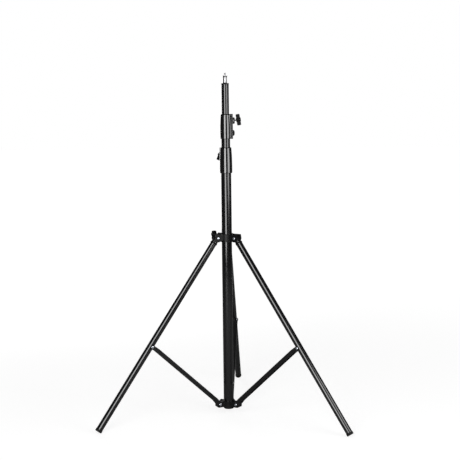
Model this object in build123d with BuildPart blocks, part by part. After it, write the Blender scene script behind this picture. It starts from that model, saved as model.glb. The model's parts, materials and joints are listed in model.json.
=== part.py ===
"""Telescopic lighting stand: a three-section column on a folding three-leg base.

Millimetres. +Z is up. The origin is on the floor, on the column's axis, and the rear leg
points along +Y. Angles around the column are measured from +X, counter-clockwise.
"""

import os
from math import atan, atan2, cos, degrees, hypot, radians, sin

from build123d import *

os.makedirs("parts", exist_ok=True)

# Clearances
slide_gap = 0.30  # around a tube that slides in a bush, and beside moving faces
fit_gap = 0.05  # radial, a piece seated in another piece
pin_gap = 0.05  # radial, a pin that something turns on
head_gap = 0.10  # between a rivet head and the flange that turns under it

# Column tubes
lower_tube_diameter = 35.0
lower_tube_wall = 1.5
middle_tube_diameter = 30.0
middle_tube_wall = 1.2
top_tube_diameter = 25.0
top_tube_wall = 1.2
middle_tube_start = 48.0  # height of its lower end
top_tube_start = 100.0

# Heights along the column
column_foot_height = 26.0
lower_collar_height = 845.1
lower_collar_length = 87.0
middle_tube_shown = 28.8  # between the two collars
upper_collar_length = 83.6
top_tube_shown = 103.1  # from the upper collar to the tube's end

# End cap under the column
end_cap_thickness = 5.0
end_cap_rounding = 2.5
end_cap_plug_length = 14.0
plug_wall = 2.0

# Guide bushes on the tubes' lower ends
end_bush_length = 30.0
end_bush_floor = 2.0
end_bush_lip = 2.0  # how far its floor reaches inside the tube's bore

# Lock collars
lower_socket_margin = 11.0  # from the end of the tube below up to the lock screw
upper_socket_margin = 16.6
collar_shoulder = 2.5
collar_lip_height = 5.0
collar_edge_rounding = 1.5
collar_bush_wall = 1.5
collar_rim_gap = 0.45  # around the sliding tube at the collar's mouth
pad_face_radius = 25.0  # from the column's axis to the flat of the side pad
lower_pad_width = 25.0
upper_pad_width = 20.0
pad_corner = 4.0
pad_edge_rounding = 1.2

# Outline radii of the collars: foot, belly and shoulder of the barrel
lower_collar_radii = (21.3, 21.3, 19.2)
upper_collar_radii = (18.0, 18.5, 16.6)
lip_chamfer = 1.8

# Lock screw, its boss and its brake pad
screw_diameter = 5.0
screw_hole_diameter = 6.4
lower_screw_drop = 31.5  # lock screws, below their collar's top
upper_screw_drop = 22.5
screw_tilt = 9.0  # degrees above level
boss_diameter = 22.0
boss_length = 6.5
boss_chamfer = 2.0
brake_pad_diameter = 8.0
brake_pad_length = 3.0

# Fixing screw under the domed cap
fixing_screw_drop = 64.0
fixing_screw_diameter = 6.0
fixing_screw_length = 6.5
hex_socket_width = 3.0
hex_socket_depth = 3.0
dome_diameter = 20.0
dome_rim = 1.2  # height of its straight edge
dome_height = 6.0

# T handle
handle_length = 38.0
bracket_handle_length = 25.0
handle_depth = 13.5
handle_thickness = 9.0
handle_corner = 3.0
handle_hub_diameter = 13.0
handle_hub_bulge = 1.5
handle_pocket_depth = 1.4
handle_pocket_margin = 2.4
handle_bore_depth = 9.0
shortest_pocket = 3.0  # a shorter handle is left solid
handle_standoff = 12.2  # from the pad's face to the handle's inner face

# Directions around the column
rear_angle = 90.0
right_angle = -30.0
left_angle = 210.0
upper_knob_angle = 4.6
lower_knob_angle = 120.0
bracket_knob_angle = 150.0
lower_knob_roll = 22.0  # degrees that the lower handle's bar leans from upright

# Legs
leg_tube_diameter = 22.0
leg_tube_wall = 1.5
leg_length = 760.0  # from the leg's pivot to the end of its foot
leg_spread = 35.7  # degrees between leg and column
pivot_radius = 38.0  # leg pivots and hub pivots, from the column's axis
leg_head_radius = 10.4
leg_tube_start = 14.0  # from the pivot to the tube's end
leg_plug_length = 30.0
ferrule_start = 17.5
ferrule_length = 5.0
ferrule_wall = 1.2
foot_diameter = 23.5
foot_sleeve_length = 9.0
foot_floor = 4.0
foot_rounding = 1.0

# Braces, pressed from sheet as a channel
brace_joint_distance = 429.0  # along the leg, from the leg's pivot
brace_joint_inset = 3.0  # the joint lies this far inside the leg's axis
sheet_thickness = 1.5
channel_gap = 0.35  # between the channel's flanges and the foot that nests in it
channel_edge = 3.9  # from the pivot line to the flanges' free edges
channel_bend = 2.0
brace_lobe_radius = 7.0
web_start = 14.0  # where the web begins, from the leg joint
web_end = 64.0  # where the web ends, before the hub joint
lobe_blend = 24.0  # length over which a lobe runs into the channel

# Rivets
rivet_diameter = 5.0
rivet_head_diameter = 9.4
rivet_head_height = 2.2

# Sliding leg bracket
bracket_height = 27.0
bracket_ring_radius = 23.0
bracket_top_rise = 13.0  # from the leg pivots up to the bracket's top
bracket_liner_wall = 1.7
cheek_thickness = 2.7
cheek_reach = 11.0  # from the pivot out to the cheeks' edge
cheek_edge_drop = 7.0  # from the pivot down to where the edge turns in
cheek_lobe_radius = 13.0
cheek_corner = 1.5
bracket_boss_length = 14.0
bracket_boss_diameter = 15.0
bracket_screw_rise = 7.0  # above the leg pivots
bracket_handle_radius = 46.5  # from the column's axis to the handle's inner face

# Lower hub
hub_pivot_height = 41.0
hub_ring_radius = 22.0
hub_ring_height = 18.0
hub_ring_drop = 10.0  # from the pivots down to the ring's lower face
lug_reach = 9.0
lug_drop = 11.0
lug_rise = 7.0
lug_corner = 4.0
clamp_boss_angle = 150.0
clamp_boss_diameter = 13.0
clamp_boss_reach = 33.0  # from the column's axis to the boss's face
clamp_boss_rise = 1.0  # above the hub's pivots
clamp_boss_edge = 1.0
clamp_head_diameter = 9.0
clamp_head_length = 3.5
clamp_head_edge = 0.8
clamp_screw_diameter = 5.0

# Spigot and stud
end_ring_radius = 13.1
end_ring_height = 3.6
end_ring_chamfer = 1.3
end_ring_plug_length = 16.0
spigot_diameter = 16.0
spigot_height = 25.4
spigot_neck_radius = 6.5
spigot_rim_height = 2.0
spigot_cone_height = 4.0
spigot_flare_height = 7.0
spigot_edge = 0.3
spigot_root_length = 30.0
stud_diameter = 6.35
stud_height = 9.0
stud_chamfer = 0.6
stud_root_diameter = 5.8
stud_root_length = 9.0
stud_relief = 0.25

# Sizes that follow from the ones above
lower_tube_radius = lower_tube_diameter / 2
middle_tube_radius = middle_tube_diameter / 2
top_tube_radius = top_tube_diameter / 2
leg_tube_radius = leg_tube_diameter / 2
foot_radius = foot_diameter / 2
rivet_radius = rivet_diameter / 2
lower_tube_bore = lower_tube_radius - lower_tube_wall
middle_tube_bore = middle_tube_radius - middle_tube_wall
top_tube_bore = top_tube_radius - top_tube_wall

lower_socket_depth = lower_collar_length - lower_screw_drop - lower_socket_margin
upper_socket_depth = upper_collar_length - upper_screw_drop - upper_socket_margin
lower_tube_top = lower_collar_height + lower_socket_depth
lower_collar_top = lower_collar_height + lower_collar_length
upper_collar_height = lower_collar_top + middle_tube_shown
upper_collar_top = upper_collar_height + upper_collar_length
middle_tube_top = upper_collar_height + upper_socket_depth
top_tube_top = upper_collar_top + top_tube_shown

legs = {"rear": rear_angle, "right": right_angle, "left": left_angle}
spread = radians(leg_spread)
foot_corner_lift = foot_rounding * (cos(spread) + sin(spread) - 1)
leg_pivot_height = leg_length * cos(spread) + foot_radius * sin(spread) - foot_corner_lift
joint_radius = pivot_radius + brace_joint_distance * sin(spread) - brace_joint_inset * cos(spread)
joint_height = leg_pivot_height - brace_joint_distance * cos(spread) - brace_joint_inset * sin(spread)
brace_run = joint_radius - pivot_radius
brace_drop = joint_height - hub_pivot_height
brace_length = hypot(brace_run, brace_drop)
brace_lean = atan2(brace_run, brace_drop)

yoke_half_gap = leg_tube_radius + slide_gap
cheek_outside = yoke_half_gap + cheek_thickness
channel_half_gap = foot_radius + channel_gap
channel_outside = channel_half_gap + sheet_thickness
web_inside = leg_tube_radius - brace_joint_inset + slide_gap
web_outside = web_inside + sheet_thickness
lug_half_width = channel_half_gap - slide_gap

bracket_top = leg_pivot_height + bracket_top_rise
bracket_bottom = bracket_top - bracket_height
liner_radius = lower_tube_radius + slide_gap + bracket_liner_wall


def outward(angle):
    """Unit vector from the column's axis towards an angle."""
    return Vector(cos(radians(angle)), sin(radians(angle)), 0)


def side_plane(angle):
    """Upright plane through the column's axis: local x runs outward and local y up."""
    return Plane(origin=(0, 0, 0), x_dir=outward(angle), z_dir=outward(angle).cross(Vector(0, 0, 1)))


def face_plane(angle, radius, height, tilt=0.0, roll=0.0):
    """Plane that faces outward: local z runs outward and up by tilt, local x up, turned by roll."""
    out = outward(angle) * cos(radians(tilt)) + Vector(0, 0, sin(radians(tilt)))
    up = Vector(0, 0, cos(radians(tilt))) - outward(angle) * sin(radians(tilt))
    side = out.cross(up)
    x_dir = up * cos(radians(roll)) + side * sin(radians(roll))
    return Plane(origin=outward(angle) * radius + Vector(0, 0, height), x_dir=x_dir, z_dir=out)


def leg_plane(angle):
    """Plane at a leg's pivot: local x runs down the leg, local y away from the column."""
    along = outward(angle) * sin(spread) - Vector(0, 0, cos(spread))
    origin = outward(angle) * pivot_radius + Vector(0, 0, leg_pivot_height)
    return Plane(origin=origin, x_dir=along, z_dir=outward(angle).cross(Vector(0, 0, 1)))


def brace_plane(angle):
    """Plane at a brace's leg joint: local x runs down the brace, local y up to its web."""
    along = outward(angle) * -sin(brace_lean) - Vector(0, 0, cos(brace_lean))
    origin = outward(angle) * joint_radius + Vector(0, 0, joint_height)
    return Plane(origin=origin, x_dir=along, z_dir=Vector(0, 0, 1).cross(outward(angle)))


def across(plane, distance):
    """Plane square to a member's local x, at a distance along it."""
    origin = plane.origin + plane.x_dir * distance
    return Plane(origin=origin, x_dir=plane.y_dir, z_dir=plane.x_dir)


def save(part, name):
    """Label a finished piece and write it to its own file."""
    part.label = name
    export_step(part, f"parts/{name}.step")


def make_tube(name, plane, outer_radius, wall, length):
    """Plain tube that starts on a plane."""
    with BuildPart() as tube:
        with BuildSketch(plane):
            Circle(outer_radius)
            Circle(outer_radius - wall, mode=Mode.SUBTRACT)
        extrude(amount=length)
    save(tube.part, name)


def make_end_cap():
    """Plastic cap under the column, with a hollow plug in the tube's bore."""
    bottom = column_foot_height - end_cap_thickness
    plug_radius = lower_tube_bore - fit_gap
    with BuildPart() as cap:
        with BuildSketch(Plane.XY.offset(bottom)):
            Circle(lower_tube_radius)
        extrude(amount=end_cap_thickness)
        fillet(cap.edges().sort_by(Axis.Z)[0], end_cap_rounding)
        with BuildSketch(Plane.XY.offset(column_foot_height)):
            Circle(plug_radius)
            Circle(plug_radius - plug_wall, mode=Mode.SUBTRACT)
        extrude(amount=end_cap_plug_length)
        chamfer(cap.edges().sort_by(Axis.Z)[-1], plug_wall / 4)
    save(cap.part, "column_end_cap")


def make_end_bush(name, start, tube_radius, bore_radius, outer_radius):
    """Nylon cup on a tube's lower end, which guides it in the tube around it."""
    sleeve_bore = tube_radius + fit_gap
    with BuildPart() as bush:
        with BuildSketch(Plane.XY.offset(start - end_bush_floor)):
            Circle(outer_radius - slide_gap)
        extrude(amount=end_bush_length)
        with BuildSketch(Plane.XY.offset(start)):
            Circle(sleeve_bore)
        extrude(amount=end_bush_length, mode=Mode.SUBTRACT)
        with BuildSketch(Plane.XY.offset(start - end_bush_floor)):
            Circle(bore_radius - end_bush_lip)
        extrude(amount=end_bush_length, mode=Mode.SUBTRACT)
    save(bush.part, name)


def make_collar(name, height, length, radii, pad_width, socket_radius, socket_depth, slide_radius, angle, screw_drop):
    """Lock collar: a barrel with a side pad, bored for the tube below and the bush above."""
    foot_radius_out, belly_radius, shoulder_radius = radii
    top = height + length
    bush_radius = slide_radius + slide_gap + collar_bush_wall
    bush_start = socket_depth + collar_shoulder
    screw_height = top - screw_drop
    with BuildPart() as collar:
        with BuildSketch(side_plane(angle)):
            with BuildLine():
                barrel = ThreePointArc(
                    (foot_radius_out, height),
                    (belly_radius, height + 0.4 * length),
                    (shoulder_radius, top - collar_lip_height),
                )
                Polyline(
                    barrel @ 1,
                    (shoulder_radius - lip_chamfer, top),
                    (0, top),
                    (0, height),
                    barrel @ 0,
                )
            make_face()
        revolve(axis=Axis.Z)
        fillet(collar.edges().group_by(Axis.Z)[0], collar_edge_rounding)
        with BuildSketch(face_plane(angle, 0, height + length / 2)):
            RectangleRounded(length, pad_width, pad_corner)
        extrude(amount=pad_face_radius)
        pad_face = collar.faces().sort_by(Axis((0, 0, 0), outward(angle)))[-1]
        fillet(pad_face.edges(), pad_edge_rounding)
        with BuildSketch(Plane.XY.offset(height)):
            Circle(socket_radius + fit_gap)
        extrude(amount=socket_depth, mode=Mode.SUBTRACT)
        with BuildSketch(Plane.XY.offset(height)):
            Circle(slide_radius + collar_rim_gap)
        extrude(amount=length, mode=Mode.SUBTRACT)
        with BuildSketch(Plane.XY.offset(height + bush_start)):
            Circle(bush_radius + fit_gap)
        extrude(amount=length - bush_start - collar_lip_height, mode=Mode.SUBTRACT)
        with BuildSketch(face_plane(angle, pad_face_radius, screw_height, screw_tilt)):
            Circle(screw_hole_diameter / 2)
        extrude(amount=pad_face_radius - slide_radius, both=True, mode=Mode.SUBTRACT)
        with BuildSketch(face_plane(angle, slide_radius, screw_height)):
            Circle(brake_pad_diameter / 2 + fit_gap)
        extrude(amount=brake_pad_length + 2 * slide_gap, mode=Mode.SUBTRACT)
        with BuildSketch(face_plane(angle, slide_radius, top - fixing_screw_drop)):
            Circle(fixing_screw_diameter / 2 + fit_gap)
        extrude(amount=pad_face_radius, mode=Mode.SUBTRACT)
    save(collar.part, name)
    make_guide_bush(
        f"{name}_bush",
        height + bush_start,
        length - bush_start - collar_lip_height,
        slide_radius,
        bush_radius,
        angle,
        screw_height,
    )
    make_brake_pad(f"{name}_brake_pad", slide_radius, angle, screw_height)
    make_collar_boss(f"{name}_boss", angle, screw_height)
    make_fixing_screw(f"{name}_fixing_screw", socket_radius, angle, top - fixing_screw_drop)
    make_dome(f"{name}_cap", angle, top - fixing_screw_drop)


def make_guide_bush(name, start, length, slide_radius, outer_radius, angle, screw_height):
    """Nylon bush around a sliding tube, with a window for the brake pad."""
    with BuildPart() as bush:
        with BuildSketch(Plane.XY.offset(start)):
            Circle(outer_radius)
            Circle(slide_radius + slide_gap, mode=Mode.SUBTRACT)
        extrude(amount=length)
        with BuildSketch(face_plane(angle, slide_radius, screw_height)):
            Circle(brake_pad_diameter / 2 + fit_gap)
        extrude(amount=outer_radius, mode=Mode.SUBTRACT)
    save(bush.part, name)


def make_brake_pad(name, slide_radius, angle, screw_height):
    """Nylon disc that the lock screw presses on the sliding tube."""
    with BuildPart() as pad:
        with BuildSketch(face_plane(angle, slide_radius, screw_height)):
            Circle(brake_pad_diameter / 2)
        extrude(amount=brake_pad_length + slide_gap)
        with BuildSketch(Plane.XY.offset(screw_height - brake_pad_diameter)):
            Circle(slide_radius + slide_gap)
        extrude(amount=2 * brake_pad_diameter, mode=Mode.SUBTRACT)
    save(pad.part, name)


def make_collar_boss(name, angle, screw_height):
    """Round boss on the pad that the lock screw passes through."""
    with BuildPart() as boss:
        with BuildSketch(face_plane(angle, pad_face_radius, screw_height)):
            Circle(boss_diameter / 2)
        extrude(amount=boss_length)
        boss_face = boss.faces().sort_by(Axis((0, 0, 0), outward(angle)))[-1]
        chamfer(boss_face.edges(), boss_chamfer)
        with BuildSketch(face_plane(angle, pad_face_radius, screw_height, screw_tilt)):
            Circle(screw_hole_diameter / 2)
        extrude(amount=2 * boss_length, both=True, mode=Mode.SUBTRACT)
    save(boss.part, name)


def make_fixing_screw(name, tube_radius, angle, height):
    """Grub screw that holds a collar on the tube below, under the domed cap."""
    with BuildPart() as screw:
        with BuildSketch(face_plane(angle, 0, height)):
            Circle(fixing_screw_diameter / 2)
        extrude(amount=tube_radius + fit_gap + fixing_screw_length)
        with BuildSketch(Plane.XY.offset(height - fixing_screw_diameter)):
            Circle(tube_radius + fit_gap)
        extrude(amount=2 * fixing_screw_diameter, mode=Mode.SUBTRACT)
        with BuildSketch(face_plane(angle, tube_radius + fit_gap + fixing_screw_length, height)):
            RegularPolygon(hex_socket_width / 2, 6, major_radius=False)
        extrude(amount=-hex_socket_depth, mode=Mode.SUBTRACT)
    save(screw.part, name)


def make_dome(name, angle, height):
    """Domed cap glued to the pad over the fixing screw's hole."""
    dome_radius = dome_diameter / 2
    rise = dome_height - dome_rim
    crown_radius = (dome_radius**2 + rise**2) / (2 * rise)
    with BuildPart() as dome:
        with BuildSketch(side_plane(angle)):
            with BuildLine():
                rim = Polyline(
                    (pad_face_radius, height),
                    (pad_face_radius, height + dome_radius),
                    (pad_face_radius + dome_rim, height + dome_radius),
                )
                crown = RadiusArc(rim @ 1, (pad_face_radius + dome_height, height), crown_radius)
                Line(crown @ 1, rim @ 0)
            make_face()
        revolve(axis=Axis(outward(angle) * pad_face_radius + Vector(0, 0, height), outward(angle)))
    save(dome.part, name)


def make_knob(name, angle, face_radius, height, standoff, tilt, roll, tip_radius, length=handle_length):
    """T handle moulded around its lock screw. The screw's tip stops at tip_radius."""
    root = face_plane(angle, face_radius, height, tilt, roll)
    plane = Plane(origin=root.origin + root.z_dir * standoff, x_dir=root.x_dir, z_dir=root.z_dir)
    tip_length = standoff + (face_radius - tip_radius) / cos(radians(tilt))
    hub_radius = handle_hub_diameter / 2
    pocket_length = length / 2 - hub_radius - 2 * handle_pocket_margin
    pocket_width = handle_depth - 2 * handle_pocket_margin
    pocket_centre = hub_radius + handle_pocket_margin + pocket_length / 2
    with BuildPart() as handle:
        with BuildSketch(Plane(origin=plane.origin, x_dir=plane.x_dir, z_dir=plane.y_dir)):
            with Locations((0, -handle_depth / 2)):
                RectangleRounded(length, handle_depth, handle_corner)
        extrude(amount=handle_thickness / 2, both=True)
        with BuildSketch(plane.offset(-handle_hub_bulge)):
            Circle(hub_radius)
        extrude(amount=handle_depth + 2 * handle_hub_bulge)
        for side in (-1, 1) if pocket_length > shortest_pocket else ():
            pocket_plane = Plane(
                origin=plane.origin + plane.y_dir * side * handle_thickness / 2,
                x_dir=plane.x_dir,
                z_dir=plane.y_dir * side,
            )
            with BuildSketch(pocket_plane):
                with Locations(
                    (-pocket_centre, -side * handle_depth / 2),
                    (pocket_centre, -side * handle_depth / 2),
                ):
                    RectangleRounded(pocket_length, pocket_width, handle_pocket_margin / 2)
            extrude(amount=-handle_pocket_depth, mode=Mode.SUBTRACT)
        with BuildSketch(plane.offset(-handle_hub_bulge)):
            Circle(screw_diameter / 2 + fit_gap)
        extrude(amount=handle_bore_depth + handle_hub_bulge, mode=Mode.SUBTRACT)
    save(handle.part, f"{name}_handle")
    with BuildPart() as screw:
        with BuildSketch(plane.offset(-tip_length)):
            Circle(screw_diameter / 2)
        extrude(amount=tip_length + handle_bore_depth)
        chamfer(screw.edges().sort_by(Axis(plane.origin, plane.z_dir))[0], screw_diameter / 10)
    save(screw.part, f"{name}_screw")


def make_end_ring():
    """Dark ring in the top tube's end, which carries the spigot."""
    plug_radius = top_tube_bore - fit_gap
    with BuildPart() as ring:
        with BuildSketch(Plane.XY.offset(top_tube_top - end_ring_height)):
            Circle(end_ring_radius)
        extrude(amount=end_ring_height)
        chamfer(ring.edges().sort_by(Axis.Z)[-1], end_ring_chamfer)
        with BuildSketch(Plane.XY.offset(top_tube_top - end_ring_height)):
            Circle(plug_radius)
        extrude(amount=-end_ring_plug_length)
        with BuildSketch(Plane.XY.offset(top_tube_top)):
            Circle(spigot_diameter / 2 + fit_gap)
        extrude(amount=-spigot_root_length, mode=Mode.SUBTRACT)
    save(ring.part, "top_end_ring")


def make_spigot():
    """Turned spigot with a waist, a rim on top and a bore for the stud's root."""
    radius = spigot_diameter / 2
    rim_bottom = top_tube_top + spigot_height - spigot_rim_height
    spigot_top = top_tube_top + spigot_height
    with BuildPart() as spigot:
        with BuildSketch(side_plane(right_angle)):
            with BuildLine():
                root = Polyline(
                    (0, top_tube_top - spigot_root_length),
                    (radius, top_tube_top - spigot_root_length),
                    (radius, top_tube_top + spigot_edge),
                )
                flare = ThreePointArc(
                    root @ 1,
                    ((radius + spigot_neck_radius) / 2 - spigot_edge, top_tube_top + 0.35 * spigot_flare_height),
                    (spigot_neck_radius, top_tube_top + spigot_flare_height),
                )
                Polyline(
                    flare @ 1,
                    (spigot_neck_radius, rim_bottom - spigot_cone_height),
                    (radius, rim_bottom),
                    (radius, spigot_top),
                    (0, spigot_top),
                    root @ 0,
                )
            make_face()
        revolve(axis=Axis.Z)
        chamfer(spigot.edges().group_by(Axis.Z)[-1], spigot_edge)
        with BuildSketch(Plane.XY.offset(spigot_top)):
            Circle(stud_root_diameter / 2 + fit_gap)
        extrude(amount=-stud_root_length, mode=Mode.SUBTRACT)
        bore_mouth = spigot.edges().group_by(Axis.Z)[-1].sort_by(SortBy.RADIUS)[0]
        chamfer(bore_mouth, (stud_diameter - stud_root_diameter) / 2 + stud_relief)
    save(spigot.part, "spigot")
    with BuildPart() as stud:
        with BuildSketch(Plane.XY.offset(spigot_top)):
            Circle(stud_diameter / 2)
        extrude(amount=stud_height)
        chamfer(stud.edges().sort_by(Axis.Z)[-1], stud_chamfer)
        with BuildSketch(Plane.XY.offset(spigot_top)):
            Circle(stud_root_diameter / 2)
        extrude(amount=-stud_root_length)
    save(stud.part, "camera_stud")


def make_bracket():
    """Sliding bracket: a ring, three yokes for the legs and a boss for its lock screw."""
    screw_height = leg_pivot_height + bracket_screw_rise
    with BuildPart() as bracket:
        with BuildSketch(Plane.XY.offset(bracket_bottom)):
            Circle(bracket_ring_radius)
        extrude(amount=bracket_height)
        for angle in legs.values():
            for side in (-1, 1):
                with BuildSketch(side_plane(angle).offset(side * yoke_half_gap)):
                    with Locations((pivot_radius, leg_pivot_height)):
                        Circle(cheek_lobe_radius)
                    with Locations((pivot_radius + cheek_reach, bracket_top)):
                        Rectangle(
                            pivot_radius + cheek_reach - liner_radius,
                            bracket_top_rise + cheek_edge_drop,
                            align=(Align.MAX, Align.MAX),
                        )
                    make_hull()
                extrude(amount=side * cheek_thickness)
        outer_corners = bracket.edges().filter_by(
            lambda edge: edge.length < cheek_thickness + fit_gap
            and edge.center().Z > bracket_top - fit_gap
            and hypot(edge.center().X, edge.center().Y) > pivot_radius
        )
        fillet(outer_corners, cheek_corner)
        with BuildSketch(face_plane(bracket_knob_angle, 0, screw_height)):
            Circle(bracket_boss_diameter / 2)
        extrude(amount=bracket_ring_radius + bracket_boss_length)
        boss_face = bracket.faces().sort_by(Axis((0, 0, 0), outward(bracket_knob_angle)))[-1]
        chamfer(boss_face.edges(), boss_chamfer)
        with BuildSketch(Plane.XY.offset(leg_pivot_height)):
            Circle(liner_radius + fit_gap)
        extrude(amount=2 * bracket_height, both=True, mode=Mode.SUBTRACT)
        for angle in legs.values():
            with BuildSketch(side_plane(angle)):
                with Locations((pivot_radius, leg_pivot_height)):
                    Circle(rivet_radius + fit_gap)
            extrude(amount=2 * cheek_outside, both=True, mode=Mode.SUBTRACT)
        with BuildSketch(face_plane(bracket_knob_angle, 0, screw_height)):
            Circle(screw_hole_diameter / 2)
        extrude(amount=2 * bracket_handle_radius, mode=Mode.SUBTRACT)
        with BuildSketch(face_plane(bracket_knob_angle, 0, screw_height)):
            Circle(brake_pad_diameter / 2 + fit_gap)
        extrude(amount=lower_tube_radius + brake_pad_length + 2 * slide_gap, mode=Mode.SUBTRACT)
    save(bracket.part, "leg_bracket")
    make_guide_bush(
        "leg_bracket_liner",
        bracket_bottom,
        bracket_height,
        lower_tube_radius,
        liner_radius,
        bracket_knob_angle,
        screw_height,
    )
    make_brake_pad("leg_bracket_brake_pad", lower_tube_radius, bracket_knob_angle, screw_height)
    make_knob(
        "bracket_knob",
        bracket_knob_angle,
        bracket_handle_radius,
        screw_height,
        0,
        0,
        0,
        lower_tube_radius + brake_pad_length + 3 * slide_gap,
        bracket_handle_length,
    )


def make_leg_pivot_rivets():
    """The three rivets through the bracket's yokes."""
    with BuildPart() as rivets:
        for angle in legs.values():
            with BuildSketch(side_plane(angle)):
                with Locations((pivot_radius, leg_pivot_height)):
                    Circle(rivet_radius)
            extrude(amount=cheek_outside, both=True)
            for side in (-1, 1):
                with BuildSketch(side_plane(angle).offset(side * cheek_outside)):
                    with Locations((pivot_radius, leg_pivot_height)):
                        Circle(rivet_head_diameter / 2)
                extrude(amount=side * rivet_head_height, taper=35)
    save(rivets.part, "leg_pivot_rivets")


def make_hub():
    """Cast hub at the column's foot: a ring with three lugs that the braces straddle."""
    ring_bottom = hub_pivot_height - hub_ring_drop
    with BuildPart() as hub:
        with BuildSketch(Plane.XY.offset(ring_bottom)):
            Circle(hub_ring_radius)
        extrude(amount=hub_ring_height)
        for angle in legs.values():
            with BuildSketch(side_plane(angle)) as lug:
                with Locations((pivot_radius + lug_reach, hub_pivot_height - lug_drop)):
                    Rectangle(
                        pivot_radius + lug_reach - lower_tube_radius,
                        lug_drop + lug_rise,
                        align=(Align.MAX, Align.MIN),
                    )
                fillet(lug.vertices().group_by(Axis.Y)[0].sort_by(Axis.X)[-1], lug_corner)
                fillet(lug.vertices().group_by(Axis.Y)[-1].sort_by(Axis.X)[-1], lug_corner)
            extrude(amount=lug_half_width, both=True)
        with BuildSketch(Plane.XY):
            Circle(lower_tube_radius + fit_gap)
        extrude(amount=2 * hub_pivot_height, mode=Mode.SUBTRACT)
        for angle in legs.values():
            with BuildSketch(side_plane(angle)):
                with Locations((pivot_radius, hub_pivot_height)):
                    Circle(rivet_radius + fit_gap)
            extrude(amount=2 * lug_half_width, both=True, mode=Mode.SUBTRACT)
    save(hub.part, "spreader_hub")


def make_hub_clamp():
    """Boss on the hub's ring, with the screw that holds the hub on the column."""
    height = hub_pivot_height + clamp_boss_rise
    bore_radius = clamp_screw_diameter / 2
    outer = face_plane(clamp_boss_angle, clamp_boss_reach, height)
    with BuildPart() as boss:
        with BuildSketch(outer):
            Circle(clamp_boss_diameter / 2)
        extrude(amount=-clamp_boss_reach)
        boss_face = boss.faces().sort_by(Axis((0, 0, 0), outward(clamp_boss_angle)))[-1]
        chamfer(boss_face.edges(), clamp_boss_edge)
        with BuildSketch(Plane.XY):
            Circle(hub_ring_radius + fit_gap)
        extrude(amount=2 * height, mode=Mode.SUBTRACT)
        with BuildSketch(outer):
            Circle(bore_radius + fit_gap)
        extrude(amount=-clamp_boss_reach, mode=Mode.SUBTRACT)
    save(boss.part, "hub_clamp_boss")
    with BuildPart() as screw:
        with BuildSketch(outer.offset(fit_gap)):
            Circle(clamp_head_diameter / 2)
        extrude(amount=clamp_head_length)
        head_face = screw.faces().sort_by(Axis((0, 0, 0), outward(clamp_boss_angle)))[-1]
        chamfer(head_face.edges(), clamp_head_edge)
        with BuildSketch(outer.offset(clamp_head_length + fit_gap)):
            RegularPolygon(hex_socket_width / 2, 6, major_radius=False)
        extrude(amount=-hex_socket_depth / 2, mode=Mode.SUBTRACT)
        with BuildSketch(outer.offset(fit_gap)):
            Circle(bore_radius)
        extrude(amount=-clamp_boss_reach, mode=Mode.ADD)
        with BuildSketch(Plane.XY):
            Circle(hub_ring_radius + fit_gap)
        extrude(amount=2 * height, mode=Mode.SUBTRACT)
    save(screw.part, "hub_clamp_screw")


def make_leg_head(side_name, angle):
    """Eye at a leg's upper end, with a ferrule and a plug in the tube's bore."""
    plane = leg_plane(angle)
    with BuildPart() as head:
        with BuildSketch(plane) as outline:
            Circle(leg_head_radius)
            with Locations((leg_tube_start, 0)):
                Rectangle(leg_tube_start / 2, leg_tube_diameter, align=(Align.MAX, Align.CENTER))
            make_hull(outline.edges())
        extrude(amount=leg_tube_radius, both=True)
        with BuildSketch(across(plane, -leg_tube_diameter)):
            Circle(leg_tube_radius)
        extrude(amount=leg_tube_diameter + leg_tube_start, mode=Mode.INTERSECT)
        with BuildSketch(across(plane, leg_tube_start)):
            Circle(leg_tube_radius - leg_tube_wall - fit_gap)
        extrude(amount=leg_plug_length)
        with BuildSketch(plane):
            Circle(rivet_radius + pin_gap)
        extrude(amount=leg_tube_diameter, both=True, mode=Mode.SUBTRACT)
    save(head.part, f"leg_head_{side_name}")
    with BuildPart() as ferrule:
        with BuildSketch(across(plane, ferrule_start)):
            Circle(leg_tube_radius + ferrule_wall)
            Circle(leg_tube_radius + fit_gap, mode=Mode.SUBTRACT)
        extrude(amount=ferrule_length)
    save(ferrule.part, f"leg_ferrule_{side_name}")


def make_leg_tube(side_name, angle):
    """Leg tube, drilled across for the brace's rivet."""
    plane = leg_plane(angle)
    with BuildPart() as tube:
        with BuildSketch(across(plane, leg_tube_start)):
            Circle(leg_tube_radius)
            Circle(leg_tube_radius - leg_tube_wall, mode=Mode.SUBTRACT)
        extrude(amount=leg_length - leg_tube_start - foot_floor)
        with BuildSketch(plane):
            with Locations((brace_joint_distance, -brace_joint_inset)):
                Circle(rivet_radius + fit_gap)
        extrude(amount=leg_tube_diameter, both=True, mode=Mode.SUBTRACT)
    save(tube.part, f"leg_tube_{side_name}")


def make_foot(side_name, angle):
    """Rubber tip pushed over the leg's lower end."""
    plane = leg_plane(angle)
    with BuildPart() as foot:
        with BuildSketch(across(plane, leg_length)):
            Circle(foot_radius)
        extrude(amount=-foot_sleeve_length)
        fillet(foot.edges().sort_by(Axis(plane.origin, plane.x_dir))[-1], foot_rounding)
        with BuildSketch(across(plane, leg_length - foot_floor)):
            Circle(leg_tube_radius + fit_gap)
        extrude(amount=-foot_sleeve_length, mode=Mode.SUBTRACT)
    save(foot.part, f"leg_foot_{side_name}")


def make_leg_rivet(side_name, angle):
    """Rivet through the leg tube that the brace turns on."""
    seat = channel_outside + head_gap
    plane = leg_plane(angle)
    with BuildPart() as rivet:
        with BuildSketch(plane):
            with Locations((brace_joint_distance, -brace_joint_inset)):
                Circle(rivet_radius)
        extrude(amount=seat, both=True)
        for side in (-1, 1):
            with BuildSketch(plane.offset(side * seat)):
                with Locations((brace_joint_distance, -brace_joint_inset)):
                    Circle(rivet_head_diameter / 2)
            extrude(amount=side * rivet_head_height, taper=35)
    save(rivet.part, f"brace_rivet_{side_name}")


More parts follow.
